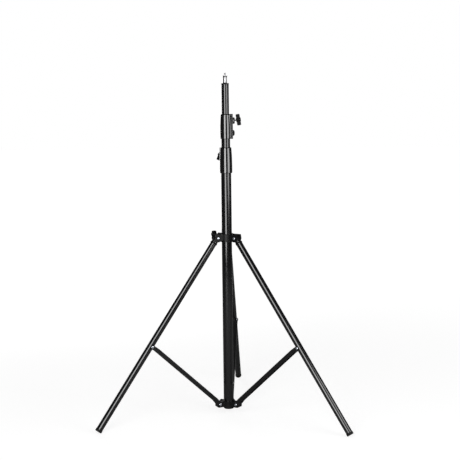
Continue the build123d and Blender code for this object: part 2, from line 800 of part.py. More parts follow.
def make_brace(side_name, angle):
    """Channel with rounded ends that straddles the leg tube above and the hub's lug below."""
    plane = brace_plane(angle)
    with BuildPart() as brace:
        with BuildSketch(across(plane, -brace_lobe_radius)) as section:
            with Locations((web_outside, 0)):
                Rectangle(
                    web_outside + brace_lobe_radius,
                    2 * channel_outside,
                    align=(Align.MAX, Align.CENTER),
                )
            fillet(section.vertices().group_by(Axis.X)[-1], channel_bend)
            with Locations((web_inside, 0)):
                Rectangle(
                    web_inside + 2 * brace_lobe_radius,
                    2 * channel_half_gap,
                    align=(Align.MAX, Align.CENTER),
                    mode=Mode.SUBTRACT,
                )
        extrude(amount=brace_length + 2 * brace_lobe_radius)
        with BuildSketch(plane) as outline:
            with Locations((lobe_blend, -channel_edge)):
                Rectangle(
                    brace_length - 2 * lobe_blend,
                    web_outside + channel_edge,
                    align=(Align.MIN, Align.MIN),
                )
            for end, inner in ((0, lobe_blend), (brace_length, brace_length - lobe_blend)):
                with BuildSketch(mode=Mode.PRIVATE) as lobe:
                    with Locations((end, 0)):
                        Circle(brace_lobe_radius)
                    with Locations((inner, -channel_edge)):
                        Rectangle(
                            2 * fit_gap,
                            web_outside + channel_edge,
                            align=(Align.CENTER, Align.MIN),
                        )
                    make_hull()
                add(lobe.sketch)
        extrude(amount=2 * channel_outside, both=True, mode=Mode.INTERSECT)
        for start, end in ((-brace_length, web_start), (brace_length - web_end, 2 * brace_length)):
            with BuildSketch(plane):
                with Locations((start, -2 * brace_lobe_radius)):
                    Rectangle(end - start, 6 * brace_lobe_radius, align=(Align.MIN, Align.MIN))
            extrude(amount=channel_half_gap, both=True, mode=Mode.SUBTRACT)
        with BuildSketch(plane):
            Circle(rivet_radius + pin_gap)
            with Locations((brace_length, 0)):
                Circle(rivet_radius + fit_gap)
        extrude(amount=2 * channel_outside, both=True, mode=Mode.SUBTRACT)
    save(brace.part, f"brace_{side_name}")


def make_hub_rivets(side_name, angle):
    """Two rivet heads in the brace's lower flange holes. The lug between them stays free."""
    plane = brace_plane(angle)
    with BuildPart() as rivets:
        for side in (-1, 1):
            with BuildSketch(plane.offset(side * channel_half_gap)):
                with Locations((brace_length, 0)):
                    Circle(rivet_radius)
            extrude(amount=side * sheet_thickness)
            with BuildSketch(plane.offset(side * channel_outside)):
                with Locations((brace_length, 0)):
                    Circle(rivet_head_diameter / 2)
            extrude(amount=side * rivet_head_height, taper=35)
    save(rivets.part, f"hub_rivets_{side_name}")


# Column
make_tube(
    "lower_tube",
    Plane.XY.offset(column_foot_height),
    lower_tube_radius,
    lower_tube_wall,
    lower_tube_top - column_foot_height,
)
make_end_cap()
make_hub()
make_hub_clamp()
make_collar(
    "lower_collar",
    lower_collar_height,
    lower_collar_length,
    lower_collar_radii,
    lower_pad_width,
    lower_tube_radius,
    lower_socket_depth,
    middle_tube_radius,
    lower_knob_angle,
    lower_screw_drop,
)

# Middle section
make_tube(
    "middle_tube",
    Plane.XY.offset(middle_tube_start),
    middle_tube_radius,
    middle_tube_wall,
    middle_tube_top - middle_tube_start,
)
make_end_bush("middle_tube_bush", middle_tube_start, middle_tube_radius, middle_tube_bore, lower_tube_bore)
make_collar(
    "upper_collar",
    upper_collar_height,
    upper_collar_length,
    upper_collar_radii,
    upper_pad_width,
    middle_tube_radius,
    upper_socket_depth,
    top_tube_radius,
    upper_knob_angle,
    upper_screw_drop,
)

# Top section
make_tube(
    "top_tube",
    Plane.XY.offset(top_tube_start),
    top_tube_radius,
    top_tube_wall,
    top_tube_top - end_ring_height - top_tube_start,
)
make_end_bush("top_tube_bush", top_tube_start, top_tube_radius, top_tube_bore, middle_tube_bore)
make_end_ring()
make_spigot()

# Lock knobs of the two collars
make_knob(
    "lower_knob",
    lower_knob_angle,
    pad_face_radius,
    lower_collar_top - lower_screw_drop,
    handle_standoff,
    screw_tilt,
    lower_knob_roll,
    middle_tube_radius + brake_pad_length + 3 * slide_gap,
)
make_knob(
    "upper_knob",
    upper_knob_angle,
    pad_face_radius,
    upper_collar_top - upper_screw_drop,
    handle_standoff,
    screw_tilt,
    0,
    top_tube_radius + brake_pad_length + 3 * slide_gap,
)

# Bracket, legs and braces
make_bracket()
make_leg_pivot_rivets()
for leg_name, leg_angle in legs.items():
    make_leg_head(leg_name, leg_angle)
    make_leg_tube(leg_name, leg_angle)
    make_foot(leg_name, leg_angle)
    make_leg_rivet(leg_name, leg_angle)
    make_brace(leg_name, leg_angle)
    make_hub_rivets(leg_name, leg_angle)

# Travel of the folding base: leg and brace end up parallel beside the column
folded_lean = atan(brace_joint_inset / (brace_joint_distance + brace_length))
fold_travel = (
    hypot(brace_joint_distance + brace_length, brace_joint_inset)
    - leg_pivot_height
    + hub_pivot_height
)
print(f"leg pivots at radius {pivot_radius:.2f}, height {leg_pivot_height:.3f}")
print(f"brace joints at radius {joint_radius:.3f}, height {joint_height:.3f}")
print(f"bracket travel to folded {fold_travel:.3f}")
print(f"leg swing {degrees(spread - folded_lean):.4f} degrees")
print(f"brace swing on the leg {degrees(spread + brace_lean):.4f} degrees")
print(f"total height {top_tube_top + spigot_height + stud_height:.2f}")
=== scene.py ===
# %% [markdown]
# # A telescopic lighting stand, dressed for the camera
# The stand has a column of three black tubes that slide in each other, two barrel-shaped lock
# collars, a sliding bracket with three tube legs, and three channel braces down to a hub. The
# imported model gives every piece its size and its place. This script makes the pieces' looks:
# finer tubes, softer edges, a real screw thread and a finish for each material.

# %% Load the frame
import json
from math import atan2, cos, hypot, pi, radians, sin, sqrt

import bmesh
import bpy
from mathutils import Euler, Matrix, Vector


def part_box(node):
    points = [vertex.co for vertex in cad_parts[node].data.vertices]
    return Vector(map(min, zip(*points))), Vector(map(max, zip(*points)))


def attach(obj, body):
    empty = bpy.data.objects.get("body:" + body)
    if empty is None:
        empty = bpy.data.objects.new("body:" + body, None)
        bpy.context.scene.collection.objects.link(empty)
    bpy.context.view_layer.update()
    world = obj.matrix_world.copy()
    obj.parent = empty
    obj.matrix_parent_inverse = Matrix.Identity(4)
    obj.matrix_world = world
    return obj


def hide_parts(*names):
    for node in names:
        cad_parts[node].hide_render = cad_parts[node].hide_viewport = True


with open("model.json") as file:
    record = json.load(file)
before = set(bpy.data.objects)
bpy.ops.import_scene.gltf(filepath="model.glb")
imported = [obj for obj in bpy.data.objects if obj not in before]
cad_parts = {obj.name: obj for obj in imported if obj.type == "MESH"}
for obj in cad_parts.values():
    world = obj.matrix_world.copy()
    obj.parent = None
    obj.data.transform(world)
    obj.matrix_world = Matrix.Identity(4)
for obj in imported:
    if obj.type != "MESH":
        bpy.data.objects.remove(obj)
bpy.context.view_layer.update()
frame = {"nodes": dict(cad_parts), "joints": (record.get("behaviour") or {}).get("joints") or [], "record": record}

nodes = frame["nodes"]
joints = {joint["name"]: joint for joint in frame["joints"]}
scene = bpy.context.scene
scene.view_settings.view_transform = "Standard"
for node in nodes.values():
    node.data.materials.clear()
for plain_colour in list(bpy.data.materials):
    bpy.data.materials.remove(plain_colour)

# %% [markdown]
# ## Where the camera stands
# The camera looks at the stand from in front of its rear leg, from 3.85 m away and about as high
# as the stud on top. Placing it by distance, height and angles keeps each number readable.

# %% Camera
camera_distance = 3.850
camera_height = 1.180
camera_side = radians(4.62)  # how far round it stands from straight in front of the rear leg
camera_yaw = radians(0.166)
camera_pitch = radians(7.854)
camera_roll = radians(-0.663)


def around(distance, bearing, height):
    """Point at a distance from the column. The bearing grows to the right of straight in front."""
    return Vector((distance * sin(bearing), -distance * cos(bearing), height))


camera_data = bpy.data.cameras.new("camera")
camera_data.lens = 88.82
camera_data.sensor_width = 36.0
camera = bpy.data.objects.new("camera", camera_data)
scene.collection.objects.link(camera)
camera.matrix_world = (
    Matrix.Translation(around(camera_distance, camera_side, camera_height))
    @ Matrix.Rotation(camera_side - camera_yaw, 4, "Z")
    @ Matrix.Rotation(radians(90) - camera_pitch, 4, "X")
    @ Matrix.Rotation(camera_roll, 4, "Z")
)
scene.camera = camera
print("camera at", [round(value, 3) for value in camera.matrix_world.translation])

# %% [markdown]
# ## Building node trees in a few words
# Both the materials and the Geometry Nodes are trees of nodes. One helper adds a node, sets its
# properties, and wires or fills in its inputs, so that each later line says what a node does.

# %% Node helper
def add(tree, kind, inputs=None, **settings):
    """Node in a tree, with its properties set and its inputs wired to sockets or given values."""
    node = tree.nodes.new(kind)
    for key, value in settings.items():
        setattr(node, key, value)
    for key, value in (inputs or {}).items():
        if isinstance(value, bpy.types.NodeSocket):
            tree.links.new(value, node.inputs[key])
        else:
            node.inputs[key].default_value = value
    return node


def node_math(tree, operation, first, second=0.0, third=0.0):
    """Output of a Math node in a tree."""
    return add(tree, "ShaderNodeMath", {0: first, 1: second, 2: third}, operation=operation).outputs[0]


def math_in(tree):
    """Shorter helper that adds Math nodes to one tree."""
    return lambda *sums: node_math(tree, *sums)


def empty_material(name):
    """Material with an empty node tree."""
    material = bpy.data.materials.new(name)
    material.use_nodes = True
    material.node_tree.nodes.clear()
    return material


print("node helpers ready")

# %% [markdown]
# ## The studio
# A glossy black tube shows only what it reflects, so the stand is drawn by soft lights. One stands
# just left of the camera and one well to the right, and each gives every tube one bright stripe.
# A third, behind the stand, touches the side pads. The room in front is dim, which keeps the rest
# of each tube dark. The backdrop is white for straight rays, and also for mirrored and
# see-through rays that leave nearly straight backwards, so the edges stay dark too.

# %% Background rays
def shows_background(tree):
    """1 for the rays that show a background: straight, mirrored or through glass."""
    path = add(tree, "ShaderNodeLightPath")
    glossy, through = path.outputs["Is Glossy Ray"], path.outputs["Is Transmission Ray"]
    return path.outputs["Is Camera Ray"], node_math(tree, "MAXIMUM", glossy, through)


# %% Floor
floor_half_width = 14.0
floor_albedo = 0.36
lift_near, lift_far = 0.80, 0.96  # what a background ray adds, near the stand and far from it
lift_from, lift_to = 0.5, 3.5  # distances over which that changes
mirror_from, mirror_to = 1.5, 2.5  # distances over which the floor starts to show in reflections
backdrop_edge = (0.975, 0.998)  # cosine of the angle from straight behind where its white ends


def smooth_step(tree, value, start, end, low=0.0, high=1.0):
    """Smooth change from low to high while a value goes from start to end."""
    span = {"Value": value, "From Min": start, "From Max": end, "To Min": low, "To Max": high}
    return add(tree, "ShaderNodeMapRange", span, interpolation_type="SMOOTHSTEP").outputs[0]


def in_backdrop(tree, cosine):
    """1 within the backdrop's spread as mirrored rays see it, and 0 well outside."""
    return smooth_step(tree, cosine, *backdrop_edge)


floor_material = empty_material("studio_floor")
floor_tree = floor_material.node_tree
seen, mirrored = shows_background(floor_tree)
floor_place = add(floor_tree, "ShaderNodeTexCoord").outputs["Object"]
floor_reach = add(floor_tree, "ShaderNodeVectorMath", {0: floor_place}, operation="LENGTH")
floor_distance = floor_reach.outputs["Value"]
floor_depth = add(floor_tree, "ShaderNodeSeparateXYZ", {0: floor_place}).outputs["Y"]
floor_lift = smooth_step(floor_tree, floor_distance, lift_from, lift_to, lift_near, lift_far)
floor_far = smooth_step(floor_tree, floor_distance, mirror_from, mirror_to)
floor_math = math_in(floor_tree)
floor_cosine = floor_math("DIVIDE", floor_depth, floor_distance)
floor_behind = floor_math("MULTIPLY", in_backdrop(floor_tree, floor_cosine), floor_far)
floor_rays = floor_math("MAXIMUM", seen, floor_math("MULTIPLY", mirrored, floor_behind))
floor_strength = floor_math("MULTIPLY", floor_rays, floor_lift)
floor_paint = add(floor_tree, "ShaderNodeBsdfDiffuse", {"Color": (*[floor_albedo] * 3, 1)})
floor_glow = add(floor_tree, "ShaderNodeEmission", {"Color": (1, 1, 1, 1), "Strength": floor_strength})
floor_sum = add(floor_tree, "ShaderNodeAddShader", {0: floor_paint.outputs[0], 1: floor_glow.outputs[0]})
add(floor_tree, "ShaderNodeOutputMaterial", {"Surface": floor_sum.outputs[0]})

floor_mesh = bpy.data.meshes.new("floor")
floor_sides = ((-1, -1), (1, -1), (1, 1), (-1, 1))
floor_corners = [(x * floor_half_width, y * floor_half_width, 0) for x, y in floor_sides]
floor_mesh.from_pydata(floor_corners, [], [(0, 1, 2, 3)])
floor_mesh.materials.append(floor_material)
floor = bpy.data.objects.new("floor", floor_mesh)
scene.collection.objects.link(floor)
print("floor", 2 * floor_half_width, "m across")

# %% Room and backdrop
room_strength = 0.14
room_in_reflections = 0.05  # what glossy black sees of the dark room

world = bpy.data.worlds.new("studio")
scene.world = world
world.use_nodes = True
world.node_tree.nodes.clear()
sky = world.node_tree
seen, mirrored = shows_background(sky)
sky_direction = add(sky, "ShaderNodeSeparateXYZ", {0: add(sky, "ShaderNodeTexCoord").outputs["Generated"]})
sky_behind = in_backdrop(sky, sky_direction.outputs["Y"])


def sky_mix(factor, first, second):
    """Value between two levels in the sky's tree."""
    return add(sky, "ShaderNodeMix", {0: factor, 2: first, 3: second}, data_type="FLOAT").outputs[0]


mirror_level = sky_mix(sky_behind, room_in_reflections, 1.0)
object_level = sky_mix(mirrored, room_strength, mirror_level)
sky_level = sky_mix(seen, object_level, 1.0)
backdrop = add(sky, "ShaderNodeBackground", {"Color": (1, 1, 1, 1), "Strength": sky_level})
add(sky, "ShaderNodeOutputWorld", {"Surface": backdrop.outputs[0]})
print("backdrop white behind the stand, room at", room_strength)

# %% Soft lights
def soft_light(name, bearing, distance, height, width, tall, radiance):
    """Upright rectangular light that faces the column, by its bearing from the camera."""
    turn = camera_side + radians(bearing)
    data = bpy.data.lights.new(name, "AREA")
    data.shape = "RECTANGLE"
    data.size = width
    data.size_y = tall
    data.energy = radiance * pi * width * tall
    light = bpy.data.objects.new(name, data)
    scene.collection.objects.link(light)
    facing_column = Euler((radians(90), 0, turn)).to_matrix().to_4x4()
    light.matrix_world = Matrix.Translation(around(distance, turn, height)) @ facing_column
    light.visible_camera = False
    print(f"{name}: {width} x {tall} m, {data.energy:.0f} W")
    return light


soft_light("left_softbox", bearing=-15, distance=2.6, height=1.38, width=1.3, tall=2.44, radiance=5.6)
soft_light("right_softbox", bearing=51, distance=2.6, height=1.26, width=1.6, tall=1.6, radiance=3.8)
soft_light("back_softbox", bearing=200, distance=2.6, height=1.15, width=1.0, tall=1.7, radiance=3.0)

# %% [markdown]
# ## Surface detail shared by the finishes
# Three shader groups hold the detail. One gives the fine pebble of powder coat and moulded
# plastic. One gives the faint lines that drawing or turning leaves on a piece. One gives scuffs
# and dust, which dull a gloss finish in patches. Each material sets its own amounts.

# %% Group helper
def shader_group(name, inputs, outputs):
    """Shader node group with its sockets, given as (name, kind, value) and names of outputs."""
    group = bpy.data.node_groups.new(name, "ShaderNodeTree")
    for label, kind, value in inputs:
        socket = group.interface.new_socket(label, in_out="INPUT", socket_type=kind)
        if value is not None:
            socket.default_value = value
    for label in outputs:
        group.interface.new_socket(label, in_out="OUTPUT", socket_type="NodeSocketFloat")
    return group, add(group, "NodeGroupInput"), add(group, "NodeGroupOutput")


def noise(tree, vector, scale, detail, roughness):
    """Noise between 0 and 1, read at a vector."""
    settings = {"Vector": vector, "Scale": scale, "Detail": detail, "Roughness": roughness}
    return add(tree, "ShaderNodeTexNoise", settings).outputs["Fac"]


# %% Pebble
pebble, pebble_in, pebble_out = shader_group(
    "pebble", [("Vector", "NodeSocketVector", None), ("Scale", "NodeSocketFloat", 1500.0)], ["Height"]
)
pebble_cells = add(
    pebble,
    "ShaderNodeTexVoronoi",
    {"Vector": pebble_in.outputs["Vector"], "Scale": pebble_in.outputs["Scale"]},
    feature="SMOOTH_F1",
)
pebble_haze = noise(pebble, pebble_in.outputs["Vector"], pebble_in.outputs["Scale"], 2.0, 0.5)
pebble_sum = node_math(pebble, "ADD", pebble_cells.outputs["Distance"], pebble_haze)
pebble.links.new(pebble_sum, pebble_out.inputs["Height"])

# %% Drawn or turned lines
drawn_lines, lines_in, lines_out = shader_group(
    "drawn_lines",
    [("Vector", "NodeSocketVector", None), ("Stretch", "NodeSocketVector", (300.0, 300.0, 4.0))],
    ["Height"],
)
lines_space = add(
    drawn_lines,
    "ShaderNodeVectorMath",
    {0: lines_in.outputs["Vector"], 1: lines_in.outputs["Stretch"]},
    operation="MULTIPLY",
)
lines_fine = noise(drawn_lines, lines_space.outputs[0], 1.0, 3.0, 0.6)
lines_broad = noise(drawn_lines, lines_space.outputs[0], 0.15, 1.0, 0.5)
lines_sum = node_math(drawn_lines, "MULTIPLY", lines_fine, lines_broad)
drawn_lines.links.new(lines_sum, lines_out.inputs["Height"])

# %% Scuffs and dust
scuffs, scuffs_in, scuffs_out = shader_group(
    "scuffs",
    [
        ("Vector", "NodeSocketVector", None),
        ("Scale", "NodeSocketFloat", 30.0),
        ("Amount", "NodeSocketFloat", 0.3),
    ],
    ["Mask", "Haze"],
)
scuff_patch = noise(scuffs, scuffs_in.outputs["Vector"], scuffs_in.outputs["Scale"], 4.0, 0.6)
scuff_fine_scale = node_math(scuffs, "MULTIPLY", scuffs_in.outputs["Scale"], 14.0)
scuff_grain = noise(scuffs, scuffs_in.outputs["Vector"], scuff_fine_scale, 3.0, 0.7)
scuff_from, scuff_to = 0.27, 0.42  # how high the two noises' product is where scuffs begin and are full
scuff_both = node_math(scuffs, "MULTIPLY", scuff_patch, scuff_grain)
scuff_range = add(
    scuffs, "ShaderNodeMapRange", {"Value": scuff_both, "From Min": scuff_from, "From Max": scuff_to}
)
scuff_mask = node_math(scuffs, "MULTIPLY", scuff_range.outputs[0], scuffs_in.outputs["Amount"])
scuffs.links.new(scuff_mask, scuffs_out.inputs["Mask"])
scuffs.links.new(scuff_patch, scuffs_out.inputs["Haze"])
print("shader groups:", [group.name for group in (pebble, drawn_lines, scuffs)])

# %% [markdown]
# ## The finishes
# Every finish is one Principled shader. The scuff mask mixes its colour towards a paler worn
# tone, the haze makes its roughness wander, and a bump adds the pebble or the lines. A tube's
# lines follow the tube, so they read the place that the tube's own mesh carries.

# %% Finish helper
haze_range = (0.35, 0.65)  # the noise values that give a finish its least and its most roughness
coat_roughness = 0.05


def finish(name, colour, worn, roughness, metallic=0.0, specular=0.5, coat=0.0, pebbles=None, turned=None,
           scuffing=(30.0, 0.3), follows=None):
    """Procedural material. Roughness is (least, most), pebbles and turned are (scale, depth)."""
    material = empty_material(name)
    tree = material.node_tree
    place = add(tree, "ShaderNodeTexCoord").outputs["Object"]
    if follows:
        place = add(tree, "ShaderNodeAttribute", attribute_name=follows).outputs["Vector"]
    wear = add(tree, "ShaderNodeGroup", node_tree=scuffs)
    tree.links.new(place, wear.inputs["Vector"])
    wear.inputs["Scale"].default_value, wear.inputs["Amount"].default_value = scuffing
    colours = {0: wear.outputs["Mask"], 6: (*colour, 1), 7: (*worn, 1)}
    tint = add(tree, "ShaderNodeMix", colours, data_type="RGBA")
    span = dict(zip(("From Min", "From Max", "To Min", "To Max"), (*haze_range, *roughness)))
    gloss = add(tree, "ShaderNodeMapRange", {"Value": wear.outputs["Haze"], **span})
    shader = add(
        tree,
        "ShaderNodeBsdfPrincipled",
        {
            "Base Color": tint.outputs[2],
            "Roughness": gloss.outputs[0],
            "Metallic": metallic,
            "Specular IOR Level": specular,
            "Coat Weight": coat,
            "Coat Roughness": coat_roughness,
        },
    )
    bump = None
    for group, values in ((pebble, pebbles), (drawn_lines, turned)):
        if values:
            texture = add(tree, "ShaderNodeGroup", node_tree=group)
            tree.links.new(place, texture.inputs["Vector"])
            texture.inputs[1].default_value = values[0]
            inputs = {"Height": texture.outputs["Height"], "Distance": values[1]}
            if bump:
                inputs["Normal"] = bump.outputs["Normal"]
            bump = add(tree, "ShaderNodeBump", inputs)
    if bump:
        tree.links.new(bump.outputs["Normal"], shader.inputs["Normal"])
    add(tree, "ShaderNodeOutputMaterial", {"Surface": shader.outputs[0]})
    return material


# %% Black finishes
tube_black = finish(
    "tube_black", (0.003, 0.003, 0.0036), (0.009, 0.009, 0.009), (0.10, 0.17), specular=0.85,
    turned=((260.0, 260.0, 2.5), 0.000006), scuffing=(9.0, 0.25), follows="tube_space",
)
collar_black = finish(
    "collar_black", (0.003, 0.003, 0.0035), (0.01, 0.01, 0.01), (0.10, 0.18), specular=1.0, coat=0.5,
    pebbles=(2600.0, 0.000002), scuffing=(34.0, 0.25),
)
knob_black = finish(
    "knob_black", (0.004, 0.004, 0.0043), (0.013, 0.013, 0.013), (0.38, 0.52), specular=0.12,
    pebbles=(2200.0, 0.00003), scuffing=(60.0, 0.3),
)
casting_black = finish(
    "casting_black", (0.004, 0.0042, 0.0045), (0.016, 0.016, 0.016), (0.3, 0.44), specular=0.28,
    pebbles=(1500.0, 0.00003), scuffing=(45.0, 0.35),
)
brace_black = finish(
    "brace_black", (0.007, 0.007, 0.0075), (0.02, 0.02, 0.02), (0.3, 0.45), specular=0.4,
    pebbles=(1100.0, 0.00004), scuffing=(25.0, 0.35),
)
rubber_black = finish(
    "rubber_black", (0.006, 0.006, 0.006), (0.03, 0.029, 0.028), (0.55, 0.75), specular=0.3,
    pebbles=(1800.0, 0.00006), scuffing=(70.0, 0.6),
)
nylon_black = finish(
    "nylon_black", (0.012, 0.012, 0.012), (0.03, 0.03, 0.03), (0.45, 0.6), specular=0.4,
    pebbles=(1500.0, 0.00003), scuffing=(60.0, 0.3),
)

# %% Bright finishes
rivet_zinc = finish(
    "rivet_zinc", (0.72, 0.76, 0.82), (0.45, 0.46, 0.47), (0.18, 0.32), metallic=1.0,
    pebbles=(2500.0, 0.00001), scuffing=(160.0, 0.5),
)
spigot_chrome = finish(
    "spigot_chrome", (0.42, 0.42, 0.43), (0.3, 0.3, 0.29), (0.16, 0.24), metallic=1.0,
    turned=((60.0, 60.0, 5200.0), 0.0000015), scuffing=(90.0, 0.35),
)
screw_steel = finish(
    "screw_steel", (0.36, 0.36, 0.37), (0.2, 0.2, 0.2), (0.25, 0.4), metallic=1.0,
    pebbles=(2500.0, 0.00001), scuffing=(120.0, 0.5),
)
finishes = {material.name: material for material in (
    tube_black, collar_black, knob_black, casting_black, brace_black, rubber_black, nylon_black,
    rivet_zinc, spigot_chrome, screw_steel,
)}
finishes["ferrule_black"] = knob_black
slots = {entry["node"]: entry["material_slot"] for entry in frame["record"]["subparts"]}
for name, node in nodes.items():
    node.data.materials.append(finishes[slots[name]])
print(len(set(finishes.values())), "finishes on", len(nodes), "nodes")

# %% [markdown]
# ## Putting a finished mesh on the stand
# Each new piece takes the finish of the node that it stands for, rides on a body, and hides that
# node. Its object stays at the origin, with its place in its mesh, as the frame's nodes do.

# %% Piece helper
members = {name: body for body, names in frame["record"]["behaviour"]["bodies"].items() for name in names}


def piece(mesh, *stands_for, name=None):
    """Object for a mesh that replaces nodes of one body and takes their finish."""
    lead = stands_for[0]
    thing = bpy.data.objects.new(name or f"{lead}_shape", mesh)
    scene.collection.objects.link(thing)
    mesh.materials.clear()
    mesh.materials.append(finishes[slots[lead]])
    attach(thing, members[lead])
    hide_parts(*stands_for)
    return thing


def volume_of(mesh):
    """Signed volume in cubic centimetres. It is positive when the faces point outwards."""
    bm = bmesh.new()
    bm.from_mesh(mesh)
    volume = bm.calc_volume(signed=True) * 1e6
    bm.free()
    return volume


# %% [markdown]
# ## Tubes by Geometry Nodes
# Six long tubes make most of the stand, and they follow one rule: a wall, cut square at both ends
# with its edges just broken. The tree sweeps the wall's long, thin rectangle round a circle. Two
# extra points on each long side keep the shading straight right up to the ends. The tree stores
# each point's place in the tube's own frame, so the drawn lines run along a leaning leg too.

# %% Tube tree
def geometry_tree(name, inputs):
    """Geometry Nodes tree with named inputs, given as (name, kind, value)."""
    tree = bpy.data.node_groups.new(name, "GeometryNodeTree")
    tree.interface.new_socket("Geometry", in_out="INPUT", socket_type="NodeSocketGeometry")
    for label, kind, value in inputs:
        socket = tree.interface.new_socket(label, in_out="INPUT", socket_type=kind)
        if value is not None:
            socket.default_value = value
    tree.interface.new_socket("Geometry", in_out="OUTPUT", socket_type="NodeSocketGeometry")
    return tree, add(tree, "NodeGroupInput"), add(tree, "NodeGroupOutput")


def end_tree(tree, geometry, finish_socket, output):
    """Make a tree's geometry real, set its finish and hand it to the tree's output."""
    real = add(tree, "GeometryNodeRealizeInstances", {"Geometry": geometry})
    painted = add(tree, "GeometryNodeSetMaterial", {"Geometry": real.outputs[0], "Material": finish_socket})
    tree.links.new(painted.outputs[0], output.inputs["Geometry"])


def grown(name, tree, settings, seed=None):
    """Plain mesh from a tree, whose inputs are set by name before it is evaluated."""
    maker = bpy.data.objects.new(f"{name}_maker", seed or bpy.data.meshes.new(f"{name}_seed"))
    scene.collection.objects.link(maker)
    modifier = maker.modifiers.new("shape", "NODES")
    modifier.node_group = tree
    sockets = {item.name: item.identifier for item in tree.interface.items_tree if item.in_out == "INPUT"}
    for label, value in settings.items():
        modifier[sockets[label]] = value
    evaluated = maker.evaluated_get(bpy.context.evaluated_depsgraph_get())
    mesh = bpy.data.meshes.new_from_object(evaluated)
    mesh.name = name
    bpy.data.objects.remove(maker)
    return mesh


tube_tree, tube_in, tube_out = geometry_tree(
    "square_cut_tube",
    [
        ("Start", "NodeSocketVector", (0, 0, 0)),
        ("End", "NodeSocketVector", (0, 0, 1)),
        ("Outer Radius", "NodeSocketFloat", 0.015),
        ("Wall", "NodeSocketFloat", 0.0015),
        ("Edge Rounding", "NodeSocketFloat", 0.0003),
        ("Edge Support", "NodeSocketFloat", 0.003),
        ("Segments", "NodeSocketInt", 96),
        ("Finish", "NodeSocketMaterial", None),
    ],
)
tube_math = math_in(tube_tree)
tube_sizes = tube_in.outputs


def tube_vectors(operation, inputs, result=0):
    """Output of a Vector Math node in the tube's tree."""
    return add(tube_tree, "ShaderNodeVectorMath", inputs, operation=operation).outputs[result]


tube_run = tube_vectors("SUBTRACT", {0: tube_sizes["End"], 1: tube_sizes["Start"]})
tube_length = tube_vectors("LENGTH", {0: tube_run}, "Value")
tube_half = tube_math("MULTIPLY", tube_length, 0.5)
wall_outline = add(
    tube_tree,
    "GeometryNodeCurvePrimitiveQuadrilateral",
    {"Width": tube_sizes["Wall"], "Height": tube_length},
)
wall_points = add(tube_tree, "GeometryNodeSubdivideCurve", {"Curve": wall_outline.outputs[0], "Cuts": 2})
wall_position = add(tube_tree, "GeometryNodeInputPosition").outputs[0]
wall_place = add(tube_tree, "ShaderNodeSeparateXYZ", {0: wall_position})
wall_reach = tube_math("ABSOLUTE", wall_place.outputs["Y"])
near_end = tube_math("SUBTRACT", tube_half, tube_sizes["Edge Rounding"])
on_long_side = tube_math("LESS_THAN", wall_reach, near_end)
support_height = tube_math(
    "MULTIPLY",
    tube_math("SIGN", wall_place.outputs["Y"]),
    tube_math("SUBTRACT", tube_half, tube_sizes["Edge Support"]),
)
support_place = add(tube_tree, "ShaderNodeCombineXYZ", {"X": wall_place.outputs["X"], "Y": support_height})
wall_supported = add(
    tube_tree,
    "GeometryNodeSetPosition",
    {"Geometry": wall_points.outputs[0], "Selection": on_long_side, "Position": support_place.outputs[0]},
)
corner_share = 0.4  # of the wall, from its middle: a corner is further out than this
on_corner = tube_math(
    "MULTIPLY",
    tube_math("GREATER_THAN", wall_reach, near_end),
    tube_math(
        "GREATER_THAN",
        tube_math("ABSOLUTE", wall_place.outputs["X"]),
        tube_math("MULTIPLY", tube_sizes["Wall"], corner_share),
    ),
)
wall_rounded = add(
    tube_tree,
    "GeometryNodeFilletCurve",
    {
        "Curve": wall_supported.outputs[0],
        "Count": 3,
        "Radius": tube_math("MULTIPLY", on_corner, tube_sizes["Edge Rounding"]),
        "Limit Radius": True,
    },
    mode="POLY",
)
half_wall = tube_math("MULTIPLY", tube_sizes["Wall"], 0.5)
wall_middle = tube_math("SUBTRACT", tube_sizes["Outer Radius"], half_wall)
tube_circle = add(
    tube_tree,
    "GeometryNodeCurvePrimitiveCircle",
    {"Resolution": tube_sizes["Segments"], "Radius": wall_middle},
)
tube_shell = add(
    tube_tree,
    "GeometryNodeCurveToMesh",
    {"Curve": tube_circle.outputs[0], "Profile Curve": wall_rounded.outputs[0]},
)
tube_clean = add(
    tube_tree, "GeometryNodeMergeByDistance", {"Geometry": tube_shell.outputs[0], "Distance": 1e-6}
)
tube_marked = add(
    tube_tree,
    "GeometryNodeStoreNamedAttribute",
    {
        "Geometry": tube_clean.outputs[0],
        "Name": "tube_space",
        "Value": add(tube_tree, "GeometryNodeInputPosition").outputs[0],
    },
    data_type="FLOAT_VECTOR",
    domain="POINT",
)
tube_turn = add(tube_tree, "FunctionNodeAlignRotationToVector", {"Vector": tube_run}, axis="Z")
tube_ends = tube_vectors("ADD", {0: tube_sizes["Start"], 1: tube_sizes["End"]})
tube_middle = tube_vectors("SCALE", {0: tube_ends, "Scale": 0.5})
tube_placed = add(
    tube_tree,
    "GeometryNodeTransform",
    {"Geometry": tube_marked.outputs[0], "Translation": tube_middle, "Rotation": tube_turn.outputs[0]},
)
tube_smooth = add(tube_tree, "GeometryNodeSetShadeSmooth", {"Geometry": tube_placed.outputs[0]})
end_tree(tube_tree, tube_smooth.outputs[0], tube_sizes["Finish"], tube_out)

# %% Column tubes
column_walls = {"lower_tube": 0.0015, "middle_tube": 0.0012, "top_tube": 0.0012}
for name, wall in column_walls.items():
    low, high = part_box(name)
    mesh = grown(name, tube_tree, {
        "Start": (0.0, 0.0, low.z),
        "End": (0.0, 0.0, high.z),
        "Outer Radius": (high.x - low.x) / 2,
        "Wall": wall,
        "Finish": tube_black,
    })
    piece(mesh, name)
    print(f"{name}: {high.z - low.z:.3f} m, {len(mesh.polygons)} faces, {volume_of(mesh):.1f} cm3")

# %% Leg tubes
leg_names = ("rear", "right", "left")
leg_lean = radians(35.7)
leg_tube_radius = 0.011
leg_tube_from, leg_tube_to = 0.014, 0.756  # along the leg, from its pivot


